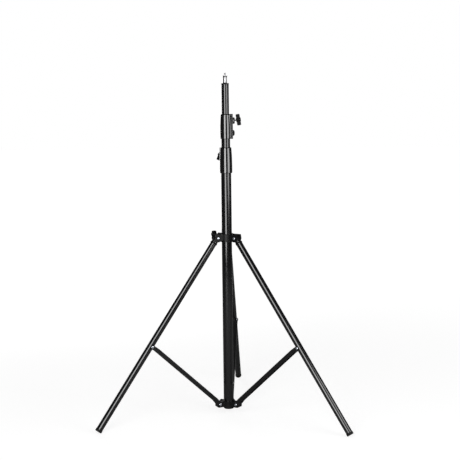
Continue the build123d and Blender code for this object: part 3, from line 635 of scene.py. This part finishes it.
class Leg:
    """Where one leg's pivot is and which way the leg and its side run."""

    def __init__(self, name):
        self.name = name
        self.pivot = Vector(joints[f"{name}_leg_fold"]["pos_m"])
        self.joint = Vector(joints[f"{name}_brace_fold"]["pos_m"])
        self.out = Vector((self.pivot.x, self.pivot.y, 0)).normalized()
        self.side = Vector(joints[f"{name}_leg_fold"]["axis"])
        self.along = self.out * sin(leg_lean) - Vector((0, 0, cos(leg_lean)))

    def at(self, distance):
        """Point on the leg's own axis."""
        return self.pivot + self.along * distance


leg_list = [Leg(name) for name in leg_names]
for leg in leg_list:
    mesh = grown(f"leg_tube_{leg.name}", tube_tree, {
        "Start": leg.at(leg_tube_from),
        "End": leg.at(leg_tube_to),
        "Outer Radius": leg_tube_radius,
        "Wall": 0.0015,
        "Segments": 72,
        "Finish": tube_black,
    })
    piece(mesh, f"leg_tube_{leg.name}")
    print(f"leg_tube_{leg.name}: foot end at {[round(value, 3) for value in leg.at(leg_tube_to)]}")

# %% [markdown]
# ## Pieces turned on a lathe
# The spigot, the end ring, the bosses, the domed caps, the ferrules and the feet are all turned
# or moulded round. One helper turns an outline into a closed mesh. It first rounds the outline's
# corners a little, because no real edge is perfectly sharp and the round edge catches the light.

# %% Lathe helpers
def crisp(bm, angle=32):
    """Smooth faces, with the edges that are sharper than an angle kept crisp."""
    for face in bm.faces:
        face.smooth = True
    for edge in bm.edges:
        edge.smooth = len(edge.link_faces) == 2 and edge.calc_face_angle(0) < radians(angle)


def mesh_from(bm, name):
    """New mesh from an edited one, which is freed."""
    mesh = bpy.data.meshes.new(name)
    bm.to_mesh(mesh)
    bm.free()
    return mesh


def softened(outline, radius, steps=4):
    """Outline of (radius, height) points with each corner rounded, as far as its sides allow."""
    result = []
    count = len(outline)
    for i, corner in enumerate(outline):
        before, corner, after = Vector(outline[i - 1]), Vector(corner), Vector(outline[(i + 1) % count])
        reach = min(radius, (before - corner).length * 0.45, (after - corner).length * 0.45)
        if corner.x < 1e-6 or before.x < 1e-6 and after.x < 1e-6:
            result.append(tuple(corner))
            continue
        start = corner + (before - corner).normalized() * reach
        end = corner + (after - corner).normalized() * reach
        for step in range(steps + 1):
            t = step / steps
            result.append(tuple(start * (1 - t) ** 2 + corner * 2 * t * (1 - t) + end * t**2))
    return result


def facing(origin, direction, up=(0, 0, 1)):
    """Matrix at an origin whose local Z runs along a direction and whose local X runs up."""
    z = Vector(direction).normalized()
    x = Vector(up) - z * z.dot(Vector(up))
    x = x.normalized() if x.length > 1e-6 else Vector((1, 0, 0))
    turn = Matrix((x, z.cross(x), z)).transposed().to_4x4()
    return Matrix.Translation(Vector(origin)) @ turn


def turned(name, outline, place=Matrix.Identity(4), edge=0.0003, segments=72):
    """Closed mesh turned round local Z from an outline whose last point joins its first."""
    bm = bmesh.new()
    rings = []
    for radius, height in softened(outline, edge):
        if radius < 1e-6:
            rings.append([bm.verts.new((0, 0, height))])
            continue
        angles = [2 * pi * i / segments for i in range(segments)]
        rings.append([bm.verts.new((radius * cos(a), radius * sin(a), height)) for a in angles])
    for low, high in zip(rings, rings[1:] + rings[:1]):
        if len(low) == 1 and len(high) == 1:
            continue
        for i in range(segments):
            j = (i + 1) % segments
            corners = (low[i % len(low)], low[j % len(low)], high[j % len(high)], high[i % len(high)])
            bm.faces.new(dict.fromkeys(corners))
    bmesh.ops.recalc_face_normals(bm, faces=bm.faces)
    crisp(bm)
    bm.transform(place)
    return mesh_from(bm, name)


def report(name, mesh):
    """Print a piece's face count and volume."""
    print(f"{name}: {len(mesh.polygons)} faces, {volume_of(mesh):.2f} cm3")


# %% [markdown]
# ## The top: end ring, spigot and stud
# The black end ring closes the top tube. The chromed spigot has a waist for a clamp screw, a cone
# that flares to a thin rim, and a quarter-inch stud. The stud's thread is real: a grid of points
# is wrapped round it so that each row follows the helix, which keeps its crest sharp.

# %% End ring and spigot
ring_low, ring_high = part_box("top_end_ring")
ring_radius = (ring_high.x - ring_low.x) / 2
spigot_low, spigot_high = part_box("spigot")
spigot_radius = (spigot_high.x - spigot_low.x) / 2
tube_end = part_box("top_tube")[1].z
top = spigot_high.z
ring_top = ring_high.z
ring_bore = spigot_radius + 0.00005
plug_radius, ring_chamfer = 0.01125, 0.0013
ring_outline = [
    (ring_bore, ring_low.z), (plug_radius, ring_low.z), (plug_radius, tube_end), (ring_radius, tube_end),
    (ring_radius, ring_top - ring_chamfer), (ring_radius - ring_chamfer, ring_top), (ring_bore, ring_top),
]
ring_mesh = turned("end_ring", ring_outline)
piece(ring_mesh, "top_end_ring")
report("end ring", ring_mesh)

neck_radius = 0.0065
rim_height, cone_height, flare_height = 0.0017, 0.0042, 0.007
stud_low, stud_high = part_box("camera_stud")
stud_radius = (stud_high.x - stud_low.x) / 2
neck_drop = spigot_radius - neck_radius
flare_from = ring_top + 0.0003
flare = [
    (spigot_radius - neck_drop * sin(t * pi / 2), flare_from + flare_height * (1 - cos(t * pi / 2)))
    for t in (0.25, 0.5, 0.75)
]
rim_from = top - rim_height
rim_step = 0.0004  # how far the rim stands out over the cone
bore_depth, bore_chamfer = 0.009, 0.0005
bore_radius = stud_radius - bore_chamfer / 2
spigot_outline = [
    (0, spigot_low.z), (spigot_radius, spigot_low.z), (spigot_radius, flare_from), *flare,
    (neck_radius, flare_from + flare_height), (neck_radius, rim_from - cone_height),
    (spigot_radius - rim_step, rim_from), (spigot_radius, rim_from), (spigot_radius, top),
    (bore_radius + bore_chamfer, top), (bore_radius, top - bore_chamfer),
    (bore_radius, top - bore_depth), (0, top - bore_depth),
]
spigot_mesh = turned("spigot_shape", spigot_outline, edge=0.00015, segments=96)
piece(spigot_mesh, "spigot", name="spigot_turned")
report("spigot", spigot_mesh)

# %% Thread tree
thread_tree, thread_in, thread_out = geometry_tree(
    "screw_thread",
    [
        ("Start", "NodeSocketVector", (0, 0, 0)),
        ("Along", "NodeSocketVector", (0, 0, 1)),
        ("Length", "NodeSocketFloat", 0.01),
        ("Pitch", "NodeSocketFloat", 0.00127),
        ("Crest Radius", "NodeSocketFloat", 0.003175),
        ("Root Radius", "NodeSocketFloat", 0.0024),
        ("Neck", "NodeSocketFloat", 0.0006),
        ("Chamfer", "NodeSocketFloat", 0.0006),
        ("Segments", "NodeSocketInt", 56),
        ("Finish", "NodeSocketMaterial", None),
    ],
)
thread_math = math_in(thread_tree)
rows_per_turn = 16.0
crest_end, root_start = 1 / 16, 6 / 16  # of a pitch, from the crest's middle
end_reach = 0.25  # of a pitch, over which an end closes
sizes = thread_in.outputs
turns = thread_math("ADD", thread_math("DIVIDE", sizes["Length"], sizes["Pitch"]), 2.0)
row_count = thread_math("ADD", thread_math("CEIL", thread_math("MULTIPLY", turns, rows_per_turn)), 1.0)
columns = thread_math("ADD", sizes["Segments"], 1.0)
thread_grid = add(
    thread_tree,
    "GeometryNodeMeshGrid",
    {"Size X": 1.0, "Size Y": 1.0, "Vertices X": row_count, "Vertices Y": columns},
)
point_index = add(thread_tree, "GeometryNodeInputIndex").outputs[0]
row = thread_math("FLOOR", thread_math("DIVIDE", thread_math("ADD", point_index, 0.5), columns))
column = thread_math("SUBTRACT", point_index, thread_math("MULTIPLY", row, columns))
turn_share = thread_math("DIVIDE", column, sizes["Segments"])
row_turns = thread_math("DIVIDE", row, rows_per_turn)
turns_up = thread_math("SUBTRACT", thread_math("ADD", row_turns, turn_share), 1.5)
raw_height = thread_math("MULTIPLY", sizes["Pitch"], turns_up)
thread_height = thread_math("MAXIMUM", thread_math("MINIMUM", raw_height, sizes["Length"]), 0.0)
phase = thread_math("ABSOLUTE", thread_math("SUBTRACT", thread_math("FRACT", row_turns), 0.5))
ridge_map = add(
    thread_tree,
    "ShaderNodeMapRange",
    {"Value": phase, "From Min": crest_end, "From Max": root_start, "To Min": 1.0, "To Max": 0.0},
)
thread_depth = thread_math("SUBTRACT", sizes["Crest Radius"], sizes["Root Radius"])
ridge = thread_math("MULTIPLY_ADD", ridge_map.outputs[0], thread_depth, sizes["Root Radius"])
tip_gap = thread_math("SUBTRACT", sizes["Length"], thread_height)
tip_limit = thread_math("ADD", thread_math("SUBTRACT", sizes["Crest Radius"], sizes["Chamfer"]), tip_gap)
past_neck = thread_math("MAXIMUM", thread_math("SUBTRACT", thread_height, sizes["Neck"]), 0.0)
neck_limit = thread_math("ADD", sizes["Root Radius"], past_neck)
ridge = thread_math("MINIMUM", ridge, thread_math("MINIMUM", tip_limit, neck_limit))
past_end = thread_math(
    "ADD",
    thread_math("MAXIMUM", thread_math("SUBTRACT", raw_height, sizes["Length"]), 0.0),
    thread_math("MAXIMUM", thread_math("MULTIPLY", raw_height, -1.0), 0.0),
)
past_share = thread_math("DIVIDE", past_end, thread_math("MULTIPLY", sizes["Pitch"], end_reach))
end_closing = thread_math("MAXIMUM", thread_math("SUBTRACT", 1.0, past_share), 0.0)
thread_radius = thread_math("MULTIPLY", ridge, end_closing)
thread_angle = thread_math("MULTIPLY", turn_share, 2 * pi)
thread_point = add(
    thread_tree,
    "ShaderNodeCombineXYZ",
    {
        "X": thread_math("MULTIPLY", thread_radius, thread_math("COSINE", thread_angle)),
        "Y": thread_math("MULTIPLY", thread_radius, thread_math("SINE", thread_angle)),
        "Z": thread_height,
    },
)
thread_wrapped = add(
    thread_tree,
    "GeometryNodeSetPosition",
    {"Geometry": thread_grid.outputs[0], "Position": thread_point.outputs[0]},
)
thread_closed = add(
    thread_tree, "GeometryNodeMergeByDistance", {"Geometry": thread_wrapped.outputs[0], "Distance": 2e-6}
)
thread_turn = add(thread_tree, "FunctionNodeAlignRotationToVector", {"Vector": sizes["Along"]}, axis="Z")
thread_placed = add(
    thread_tree,
    "GeometryNodeTransform",
    {
        "Geometry": thread_closed.outputs[0],
        "Translation": sizes["Start"],
        "Rotation": thread_turn.outputs[0],
    },
)
end_tree(thread_tree, thread_placed.outputs[0], sizes["Finish"], thread_out)


def cleaned(mesh, angle=32):
    """Mesh without slivers, with its faces turned outwards and its creases kept crisp."""
    bm = bmesh.new()
    bm.from_mesh(mesh)
    bmesh.ops.remove_doubles(bm, verts=bm.verts, dist=2e-6)
    bmesh.ops.dissolve_degenerate(bm, edges=bm.edges, dist=1e-6)
    bmesh.ops.recalc_face_normals(bm, faces=bm.faces)
    crisp(bm, angle)
    bm.to_mesh(mesh)
    bm.free()
    return mesh


# %% Quarter-inch stud
stud_sink = 0.0005  # how far the stud starts below the spigot's face
stud_length = stud_high.z - top
stud_mesh = grown("stud_thread", thread_tree, {
    "Start": (0.0, 0.0, top - stud_sink),
    "Along": (0.0, 0.0, 1.0),
    "Length": stud_length + stud_sink,
    "Pitch": 0.00127,
    "Crest Radius": stud_radius,
    "Root Radius": stud_radius - 0.00075,
    "Neck": 0.0009,
    "Chamfer": 0.0007,
    "Finish": spigot_chrome,
})
piece(cleaned(stud_mesh), "camera_stud", name="stud_thread")
report("stud", stud_mesh)

# %% Lock screws
screw_radius = 0.0025
lock_screws = {"lower_knob": "lower_collar", "upper_knob": "upper_collar", "bracket_knob": "leg_bracket"}
for name in lock_screws:
    turn = joints[f"{name}_turn"]
    axis = Vector(turn["axis"])
    anchor = Vector(turn["pos_m"])
    low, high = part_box(f"{name}_screw")
    middle = (low + high) / 2
    reach = [abs(component) for component in axis].index(max(abs(component) for component in axis))
    spread = (high[reach] - low[reach]) / abs(axis[reach])
    lean = hypot(*[axis[i] for i in range(3) if i != reach]) / abs(axis[reach])
    half = spread / 2 - screw_radius * lean
    centre = anchor + axis * (middle - anchor).dot(axis)
    mesh = grown(f"{name}_thread", thread_tree, {
        "Start": centre - axis * half,
        "Along": axis,
        "Length": 2 * half,
        "Pitch": 0.0008,
        "Crest Radius": screw_radius,
        "Root Radius": 0.00205,
        "Neck": 0.0,
        "Chamfer": 0.0006,
        "Segments": 40,
        "Finish": screw_steel,
    })
    piece(cleaned(mesh), f"{name}_screw", name=f"{name}_thread")
    report(f"{name} screw", mesh)

# %% [markdown]
# ## Lock collars
# A collar is a moulded barrel with a flat pad along one side, melted together with a soft corner.
# Its outline round the column has one radius for every direction, so a shell over angle and
# height fits it. Smooth versions of least and most blend the pad into the barrel, as a mould does.

# %% Collar shell
def smooth_most(a, b, blend):
    """The larger value, with the corner between the two filled in over a blend length."""
    overlap = max(blend - abs(a - b), 0.0) / blend
    return max(a, b) + overlap * overlap * blend / 4


def smooth_least(a, b, blend):
    """The smaller value, with the corner between the two rounded off."""
    return -smooth_most(-a, -b, blend)


def round_off(distance, radius):
    """How far a rounded edge has fallen back at a distance from the end."""
    if distance >= radius:
        return 0.0
    return radius - sqrt(max(radius**2 - (radius - distance) ** 2, 0.0))


def steps_between(low, high, fine, coarse, margin):
    """Values from low to high, close together within a margin of both ends."""
    values = []
    value = low
    while value < high - fine / 2:
        values.append(value)
        value += fine if min(value - low, high - value) < margin else coarse
    return values + [high]


pad_face, pad_corner, pad_edge = 0.025, 0.004, 0.0012
foot_edge = 0.0016
pad_blend, barrel_blend = 0.0028, 0.0035  # how far the pad's edge and its root are melted
lip_height = 0.005
shoulder_thickness = 0.0025


def collar_mesh(name, collar):
    """Closed shell of a collar: barrel and pad outside, socket, shoulder and bush seat inside."""
    length, lip_drop = collar["length"], collar["lip_drop"]
    foot, belly, shoulder = collar["radii"]

    def barrel(z):
        end = length - lip_height
        if z > end:
            return shoulder - lip_drop * (1 - sqrt(1 - 0.98 * ((z - end) / lip_height) ** 2))
        t, waist = z / end, 0.4 * length / end
        return (
            foot * (t - waist) * (t - 1) / waist
            + belly * t * (1 - t) / (waist * (1 - waist))
            + shoulder * t * (t - waist) / (1 - waist)
        )

    def outside(turn, z):
        end_gap = min(z, length - z)
        half = collar["pad_half_width"] - round_off(end_gap, pad_corner)
        face = pad_face - round_off(end_gap, pad_edge)
        c, s = cos(turn), abs(sin(turn))
        pad = 0.0
        if c > 0.3:
            pad = smooth_least(face / c, half / max(s, 1e-4), pad_blend)
        return smooth_most(barrel(z) - round_off(z, foot_edge), pad, barrel_blend)

    near_pad, far_side = steps_between(0, 40, 0.8, 0.8, 1), steps_between(43, 180, 3.0, 3.0, 1)
    half_turn = [radians(t) for t in near_pad + far_side]
    turns_round = half_turn + [2 * pi - t for t in reversed(half_turn[1:-1])]
    heights = steps_between(0.0, length, 0.0003, 0.003, 0.0055)
    bore, bush = collar["bore"], collar["bush"]
    socket, socket_depth = collar["socket"], collar["socket_depth"]
    seat_from, seat_to = socket_depth + shoulder_thickness, length - lip_height
    inside = [
        (bore, length), (bore, seat_to), (bush, seat_to), (bush, seat_from),
        (bore, seat_from), (bore, socket_depth), (socket, socket_depth), (socket, 0.0),
    ]
    rings = [[(outside(t, z), z, t) for t in turns_round] for z in heights]
    rings += [[(radius, z, t) for t in turns_round] for radius, z in inside]
    bm = bmesh.new()
    height, angle = collar["height"], collar["angle"]

    def corner(radius, z, turn):
        return bm.verts.new((radius * cos(turn + angle), radius * sin(turn + angle), height + z))

    grid = [[corner(*point) for point in ring] for ring in rings]
    for low, high in zip(grid, grid[1:] + grid[:1]):
        for i in range(len(low)):
            j = (i + 1) % len(low)
            bm.faces.new((low[i], low[j], high[j], high[i]))
    bmesh.ops.recalc_face_normals(bm, faces=bm.faces)
    crisp(bm)
    return mesh_from(bm, name)


# %% Both collars
collars = {
    "lower_collar": {
        "radii": (0.0213, 0.0213, 0.0192), "pad_half_width": 0.0125, "lip_drop": 0.0019,
        "socket": 0.01755, "socket_depth": 0.0445, "bore": 0.01545, "bush": 0.01685,
        "knob": "lower_knob", "screw_drop": 0.0315,
    },
    "upper_collar": {
        "radii": (0.0180, 0.0185, 0.0166), "pad_half_width": 0.010, "lip_drop": 0.0026,
        "socket": 0.01505, "socket_depth": 0.0445, "bore": 0.01295, "bush": 0.01435,
        "knob": "upper_knob", "screw_drop": 0.0225,
    },
}
for name, collar in collars.items():
    low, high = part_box(name)
    knob_place = Vector(joints[f"{collar['knob']}_turn"]["pos_m"])
    collar["height"], collar["length"] = low.z, high.z - low.z
    collar["angle"] = atan2(knob_place.y, knob_place.x)
    mesh = collar_mesh(f"{name}_shell", collar)
    piece(mesh, name)
    report(name, mesh)

# %% Bosses and domed caps
fixing_screw_drop = 0.064
boss_radius, boss_length, boss_bore = 0.011, 0.0065, 0.0036
boss_chamfer, boss_bore_chamfer = 0.002, 0.0008
dome_radius, dome_height, dome_rim, dome_fullness = 0.010, 0.006, 0.0012, 0.9
crown_rise = dome_height - dome_rim
for name, collar in collars.items():
    out = Vector((cos(collar["angle"]), sin(collar["angle"]), 0))
    collar_top = collar["height"] + collar["length"]
    boss_place = facing(out * pad_face + Vector((0, 0, collar_top - collar["screw_drop"])), out)
    boss_mesh = turned(f"{name}_boss_turned", [
        (boss_bore, 0), (boss_radius, 0),
        (boss_radius, boss_length - boss_chamfer), (boss_radius - boss_chamfer, boss_length),
        (boss_bore + boss_bore_chamfer, boss_length), (boss_bore, boss_length - boss_bore_chamfer),
    ], boss_place, edge=0.0006)
    piece(boss_mesh, f"{name}_boss")
    crown = [
        (dome_radius * cos(t * pi / 2) ** dome_fullness, dome_rim + crown_rise * sin(t * pi / 2))
        for t in (0.0, 0.12, 0.25, 0.4, 0.55, 0.7, 0.85)
    ]
    dome_place = facing(out * pad_face + Vector((0, 0, collar_top - fixing_screw_drop)), out)
    dome_outline = [(0, 0), (dome_radius, 0), *crown, (0, dome_height)]
    dome_mesh = turned(f"{name}_dome", dome_outline, dome_place, edge=0.0004)
    piece(dome_mesh, f"{name}_cap")
    report(f"{name} boss", boss_mesh)
    report(f"{name} dome", dome_mesh)

# %% [markdown]
# ## Castings, handles and channels
# The bracket, the hub, the leg heads, the T handles and the braces have the right shape already,
# but their edges are razor sharp. A copy of each node's mesh is merged, its flat faces are joined
# again, and a narrow bevel rounds its edges. The frame's own mesh is left alone.

# %% Softened copies
def softened_copy(name, width, segments=3, angle=30):
    """Copy of a node's mesh with its edges rounded by a width."""
    bm = bmesh.new()
    bm.from_mesh(nodes[name].data)
    bmesh.ops.remove_doubles(bm, verts=bm.verts, dist=3e-6)
    bmesh.ops.dissolve_degenerate(bm, edges=bm.edges, dist=3e-6)
    bmesh.ops.dissolve_limit(bm, angle_limit=radians(0.6), verts=bm.verts, edges=bm.edges)
    mesh = bpy.data.meshes.new(f"{name}_soft")
    bm.to_mesh(mesh)
    bm.free()
    maker = bpy.data.objects.new(f"{name}_maker", mesh)
    scene.collection.objects.link(maker)
    bevel = maker.modifiers.new("edges", "BEVEL")
    bevel.width = width
    bevel.segments = segments
    bevel.limit_method = "ANGLE"
    bevel.angle_limit = radians(angle)
    bevel.use_clamp_overlap = True
    bevel.miter_outer = "MITER_ARC"
    smooth = maker.modifiers.new("normals", "WEIGHTED_NORMAL")
    smooth.keep_sharp = True
    for face in mesh.polygons:
        face.use_smooth = True
    evaluated = maker.evaluated_get(bpy.context.evaluated_depsgraph_get())
    result = bpy.data.meshes.new_from_object(evaluated)
    bpy.data.objects.remove(maker)
    return result


soft_edges = {
    "leg_bracket": 0.0006,
    "spreader_hub": 0.0008,
    "hub_clamp_boss": 0.0004,
    "hub_clamp_screw": 0.0003,
}
soft_edges.update({f"{name}_handle": 0.0010 for name in lock_screws})
soft_edges.update({f"leg_head_{name}": 0.0006 for name in leg_names})
soft_edges.update({f"brace_{name}": 0.0003 for name in leg_names})
for name, width in soft_edges.items():
    mesh = softened_copy(name, width)
    piece(mesh, name)
    report(name, mesh)

# %% [markdown]
# ## Ferrules, feet and the column's cap
# Each leg has a thin ferrule under its head and a rubber cap for a foot. The cap has a thin lip
# and a worn, rounded edge where it meets the floor.

# %% Ferrules and feet
fit_radius = leg_tube_radius + 0.00005
ferrule_from, ferrule_radius, ferrule_length = 0.0175, 0.0122, 0.005
leg_end = 0.760  # along the leg, from its pivot to the foot's sole
foot_radius, foot_length, sole_thickness = 0.01175, 0.009, 0.004
foot_lip, foot_lip_length = 0.0003, 0.0012
for leg in leg_list:
    ferrule_mesh = turned(f"ferrule_{leg.name}", [
        (fit_radius, 0), (ferrule_radius, 0),
        (ferrule_radius, ferrule_length), (fit_radius, ferrule_length),
    ], facing(leg.at(ferrule_from), leg.along, leg.side), edge=0.0005)
    piece(ferrule_mesh, f"leg_ferrule_{leg.name}")
    foot_inside = foot_length - sole_thickness
    foot_mesh = turned(f"foot_{leg.name}", [
        (fit_radius, 0), (foot_radius - foot_lip, 0), (foot_radius, foot_lip_length),
        (foot_radius, foot_length), (0, foot_length), (0, foot_inside), (fit_radius, foot_inside),
    ], facing(leg.at(leg_end - foot_length), leg.along, leg.side), edge=0.0013)
    piece(foot_mesh, f"leg_foot_{leg.name}")
    report(f"foot {leg.name}", foot_mesh)

# %% Cap under the column
cap_low, cap_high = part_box("column_end_cap")
cap_radius = (cap_high.x - cap_low.x) / 2
column_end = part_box("lower_tube")[0].z
skirt_outside, skirt_inside = 0.01595, 0.01395
cap_mesh = turned("end_cap", [
    (0, cap_low.z), (cap_radius, cap_low.z), (cap_radius, column_end), (skirt_outside, column_end),
    (skirt_outside, cap_high.z), (skirt_inside, cap_high.z), (skirt_inside, column_end), (0, column_end),
], edge=0.0022)
piece(cap_mesh, "column_end_cap")
report("end cap", cap_mesh)

# %% [markdown]
# ## Rivets by Geometry Nodes
# Eighteen domed rivet heads hold the joints. The tree puts one head, with its shank, on every
# point of a small seed mesh and turns it to that point's own direction. One run makes all the
# heads of one body.

# %% Rivet tree
rivet_tree, rivet_in, rivet_out = geometry_tree(
    "rivet_heads",
    [
        ("Head Radius", "NodeSocketFloat", 0.0047),
        ("Head Height", "NodeSocketFloat", 0.0022),
        ("Rim", "NodeSocketFloat", 0.0005),
        ("Shank Radius", "NodeSocketFloat", 0.0025),
        ("Shank Length", "NodeSocketFloat", 0.002),
        ("Finish", "NodeSocketMaterial", None),
    ],
)
rivet_math = math_in(rivet_tree)
heads = rivet_in.outputs
head_ball = add(rivet_tree, "GeometryNodeMeshUVSphere", {"Segments": 40, "Rings": 17, "Radius": 1.0})
ball_position = add(rivet_tree, "GeometryNodeInputPosition").outputs[0]
ball_place = add(rivet_tree, "ShaderNodeSeparateXYZ", {0: ball_position})
dome_rise = rivet_math("SUBTRACT", heads["Head Height"], heads["Rim"])
upper = rivet_math("GREATER_THAN", ball_place.outputs["Z"], 0.0)
risen = rivet_math("ADD", heads["Rim"], rivet_math("MULTIPLY", ball_place.outputs["Z"], dome_rise))
head_height = rivet_math("MULTIPLY", upper, risen)
head_point = add(
    rivet_tree,
    "ShaderNodeCombineXYZ",
    {
        "X": rivet_math("MULTIPLY", ball_place.outputs["X"], heads["Head Radius"]),
        "Y": rivet_math("MULTIPLY", ball_place.outputs["Y"], heads["Head Radius"]),
        "Z": head_height,
    },
)
head_shape = add(
    rivet_tree,
    "GeometryNodeSetPosition",
    {"Geometry": head_ball.outputs[0], "Position": head_point.outputs[0]},
)
shank = add(
    rivet_tree,
    "GeometryNodeMeshCylinder",
    {"Vertices": 32, "Radius": heads["Shank Radius"], "Depth": heads["Shank Length"]},
)
half_down = rivet_math("MULTIPLY", heads["Shank Length"], -0.5)
shank_shift = add(rivet_tree, "ShaderNodeCombineXYZ", {"Z": half_down}).outputs[0]
shank_placed = add(
    rivet_tree, "GeometryNodeTransform", {"Geometry": shank.outputs[0], "Translation": shank_shift}
)
rivet_shape = add(rivet_tree, "GeometryNodeJoinGeometry")
for part_of_rivet in (shank_placed, head_shape):
    rivet_tree.links.new(part_of_rivet.outputs[0], rivet_shape.inputs[0])
head_direction = add(
    rivet_tree, "GeometryNodeInputNamedAttribute", {"Name": "facing"}, data_type="FLOAT_VECTOR"
).outputs["Attribute"]
rivet_turn = add(rivet_tree, "FunctionNodeAlignRotationToVector", {"Vector": head_direction}, axis="Z")
rivets_placed = add(
    rivet_tree,
    "GeometryNodeInstanceOnPoints",
    {"Points": heads["Geometry"], "Instance": rivet_shape.outputs[0], "Rotation": rivet_turn.outputs[0]},
)
end_tree(rivet_tree, rivets_placed.outputs[0], heads["Finish"], rivet_out)


def rivet_heads(name, places, shank_length):
    """Rivet heads at (point, direction) places."""
    seed = bpy.data.meshes.new(f"{name}_points")
    seed.from_pydata([tuple(point) for point, _ in places], [], [])
    facing_field = seed.attributes.new("facing", "FLOAT_VECTOR", "POINT")
    for value, (_, direction) in zip(facing_field.data, places):
        value.vector = direction
    return cleaned(grown(name, rivet_tree, {"Shank Length": shank_length, "Finish": rivet_zinc}, seed))


# %% All rivets
yoke_outside = 0.0140  # from a yoke's middle to the outside of its cheek
channel_half_gap, channel_outside, head_gap = 0.0121, 0.0136, 0.0001
hub_pivot_height = 0.041


def both_sides(leg, middle, reach):
    """Places for the two heads of a rivet through a point, with the way that each one faces."""
    return [(middle + leg.side * side * reach, leg.side * side) for side in (-1, 1)]


yoke_places = [place for leg in leg_list for place in both_sides(leg, leg.pivot, yoke_outside)]
mesh = rivet_heads("yoke_rivets", yoke_places, yoke_outside)
piece(mesh, "leg_pivot_rivets", name="yoke_rivets")
report("yoke rivets", mesh)
for leg in leg_list:
    seat = channel_outside + head_gap
    mesh = rivet_heads(f"joint_rivet_{leg.name}", both_sides(leg, leg.joint, seat), seat)
    piece(mesh, f"brace_rivet_{leg.name}", name=f"joint_rivet_{leg.name}")
    hub_pivot = Vector((leg.pivot.x, leg.pivot.y, hub_pivot_height))
    hub_places = both_sides(leg, hub_pivot, channel_outside)
    mesh = rivet_heads(f"hub_rivet_{leg.name}", hub_places, channel_outside - channel_half_gap)
    piece(mesh, f"hub_rivets_{leg.name}", name=f"hub_rivet_{leg.name}")
    report(f"rivets of the {leg.name} brace", mesh)
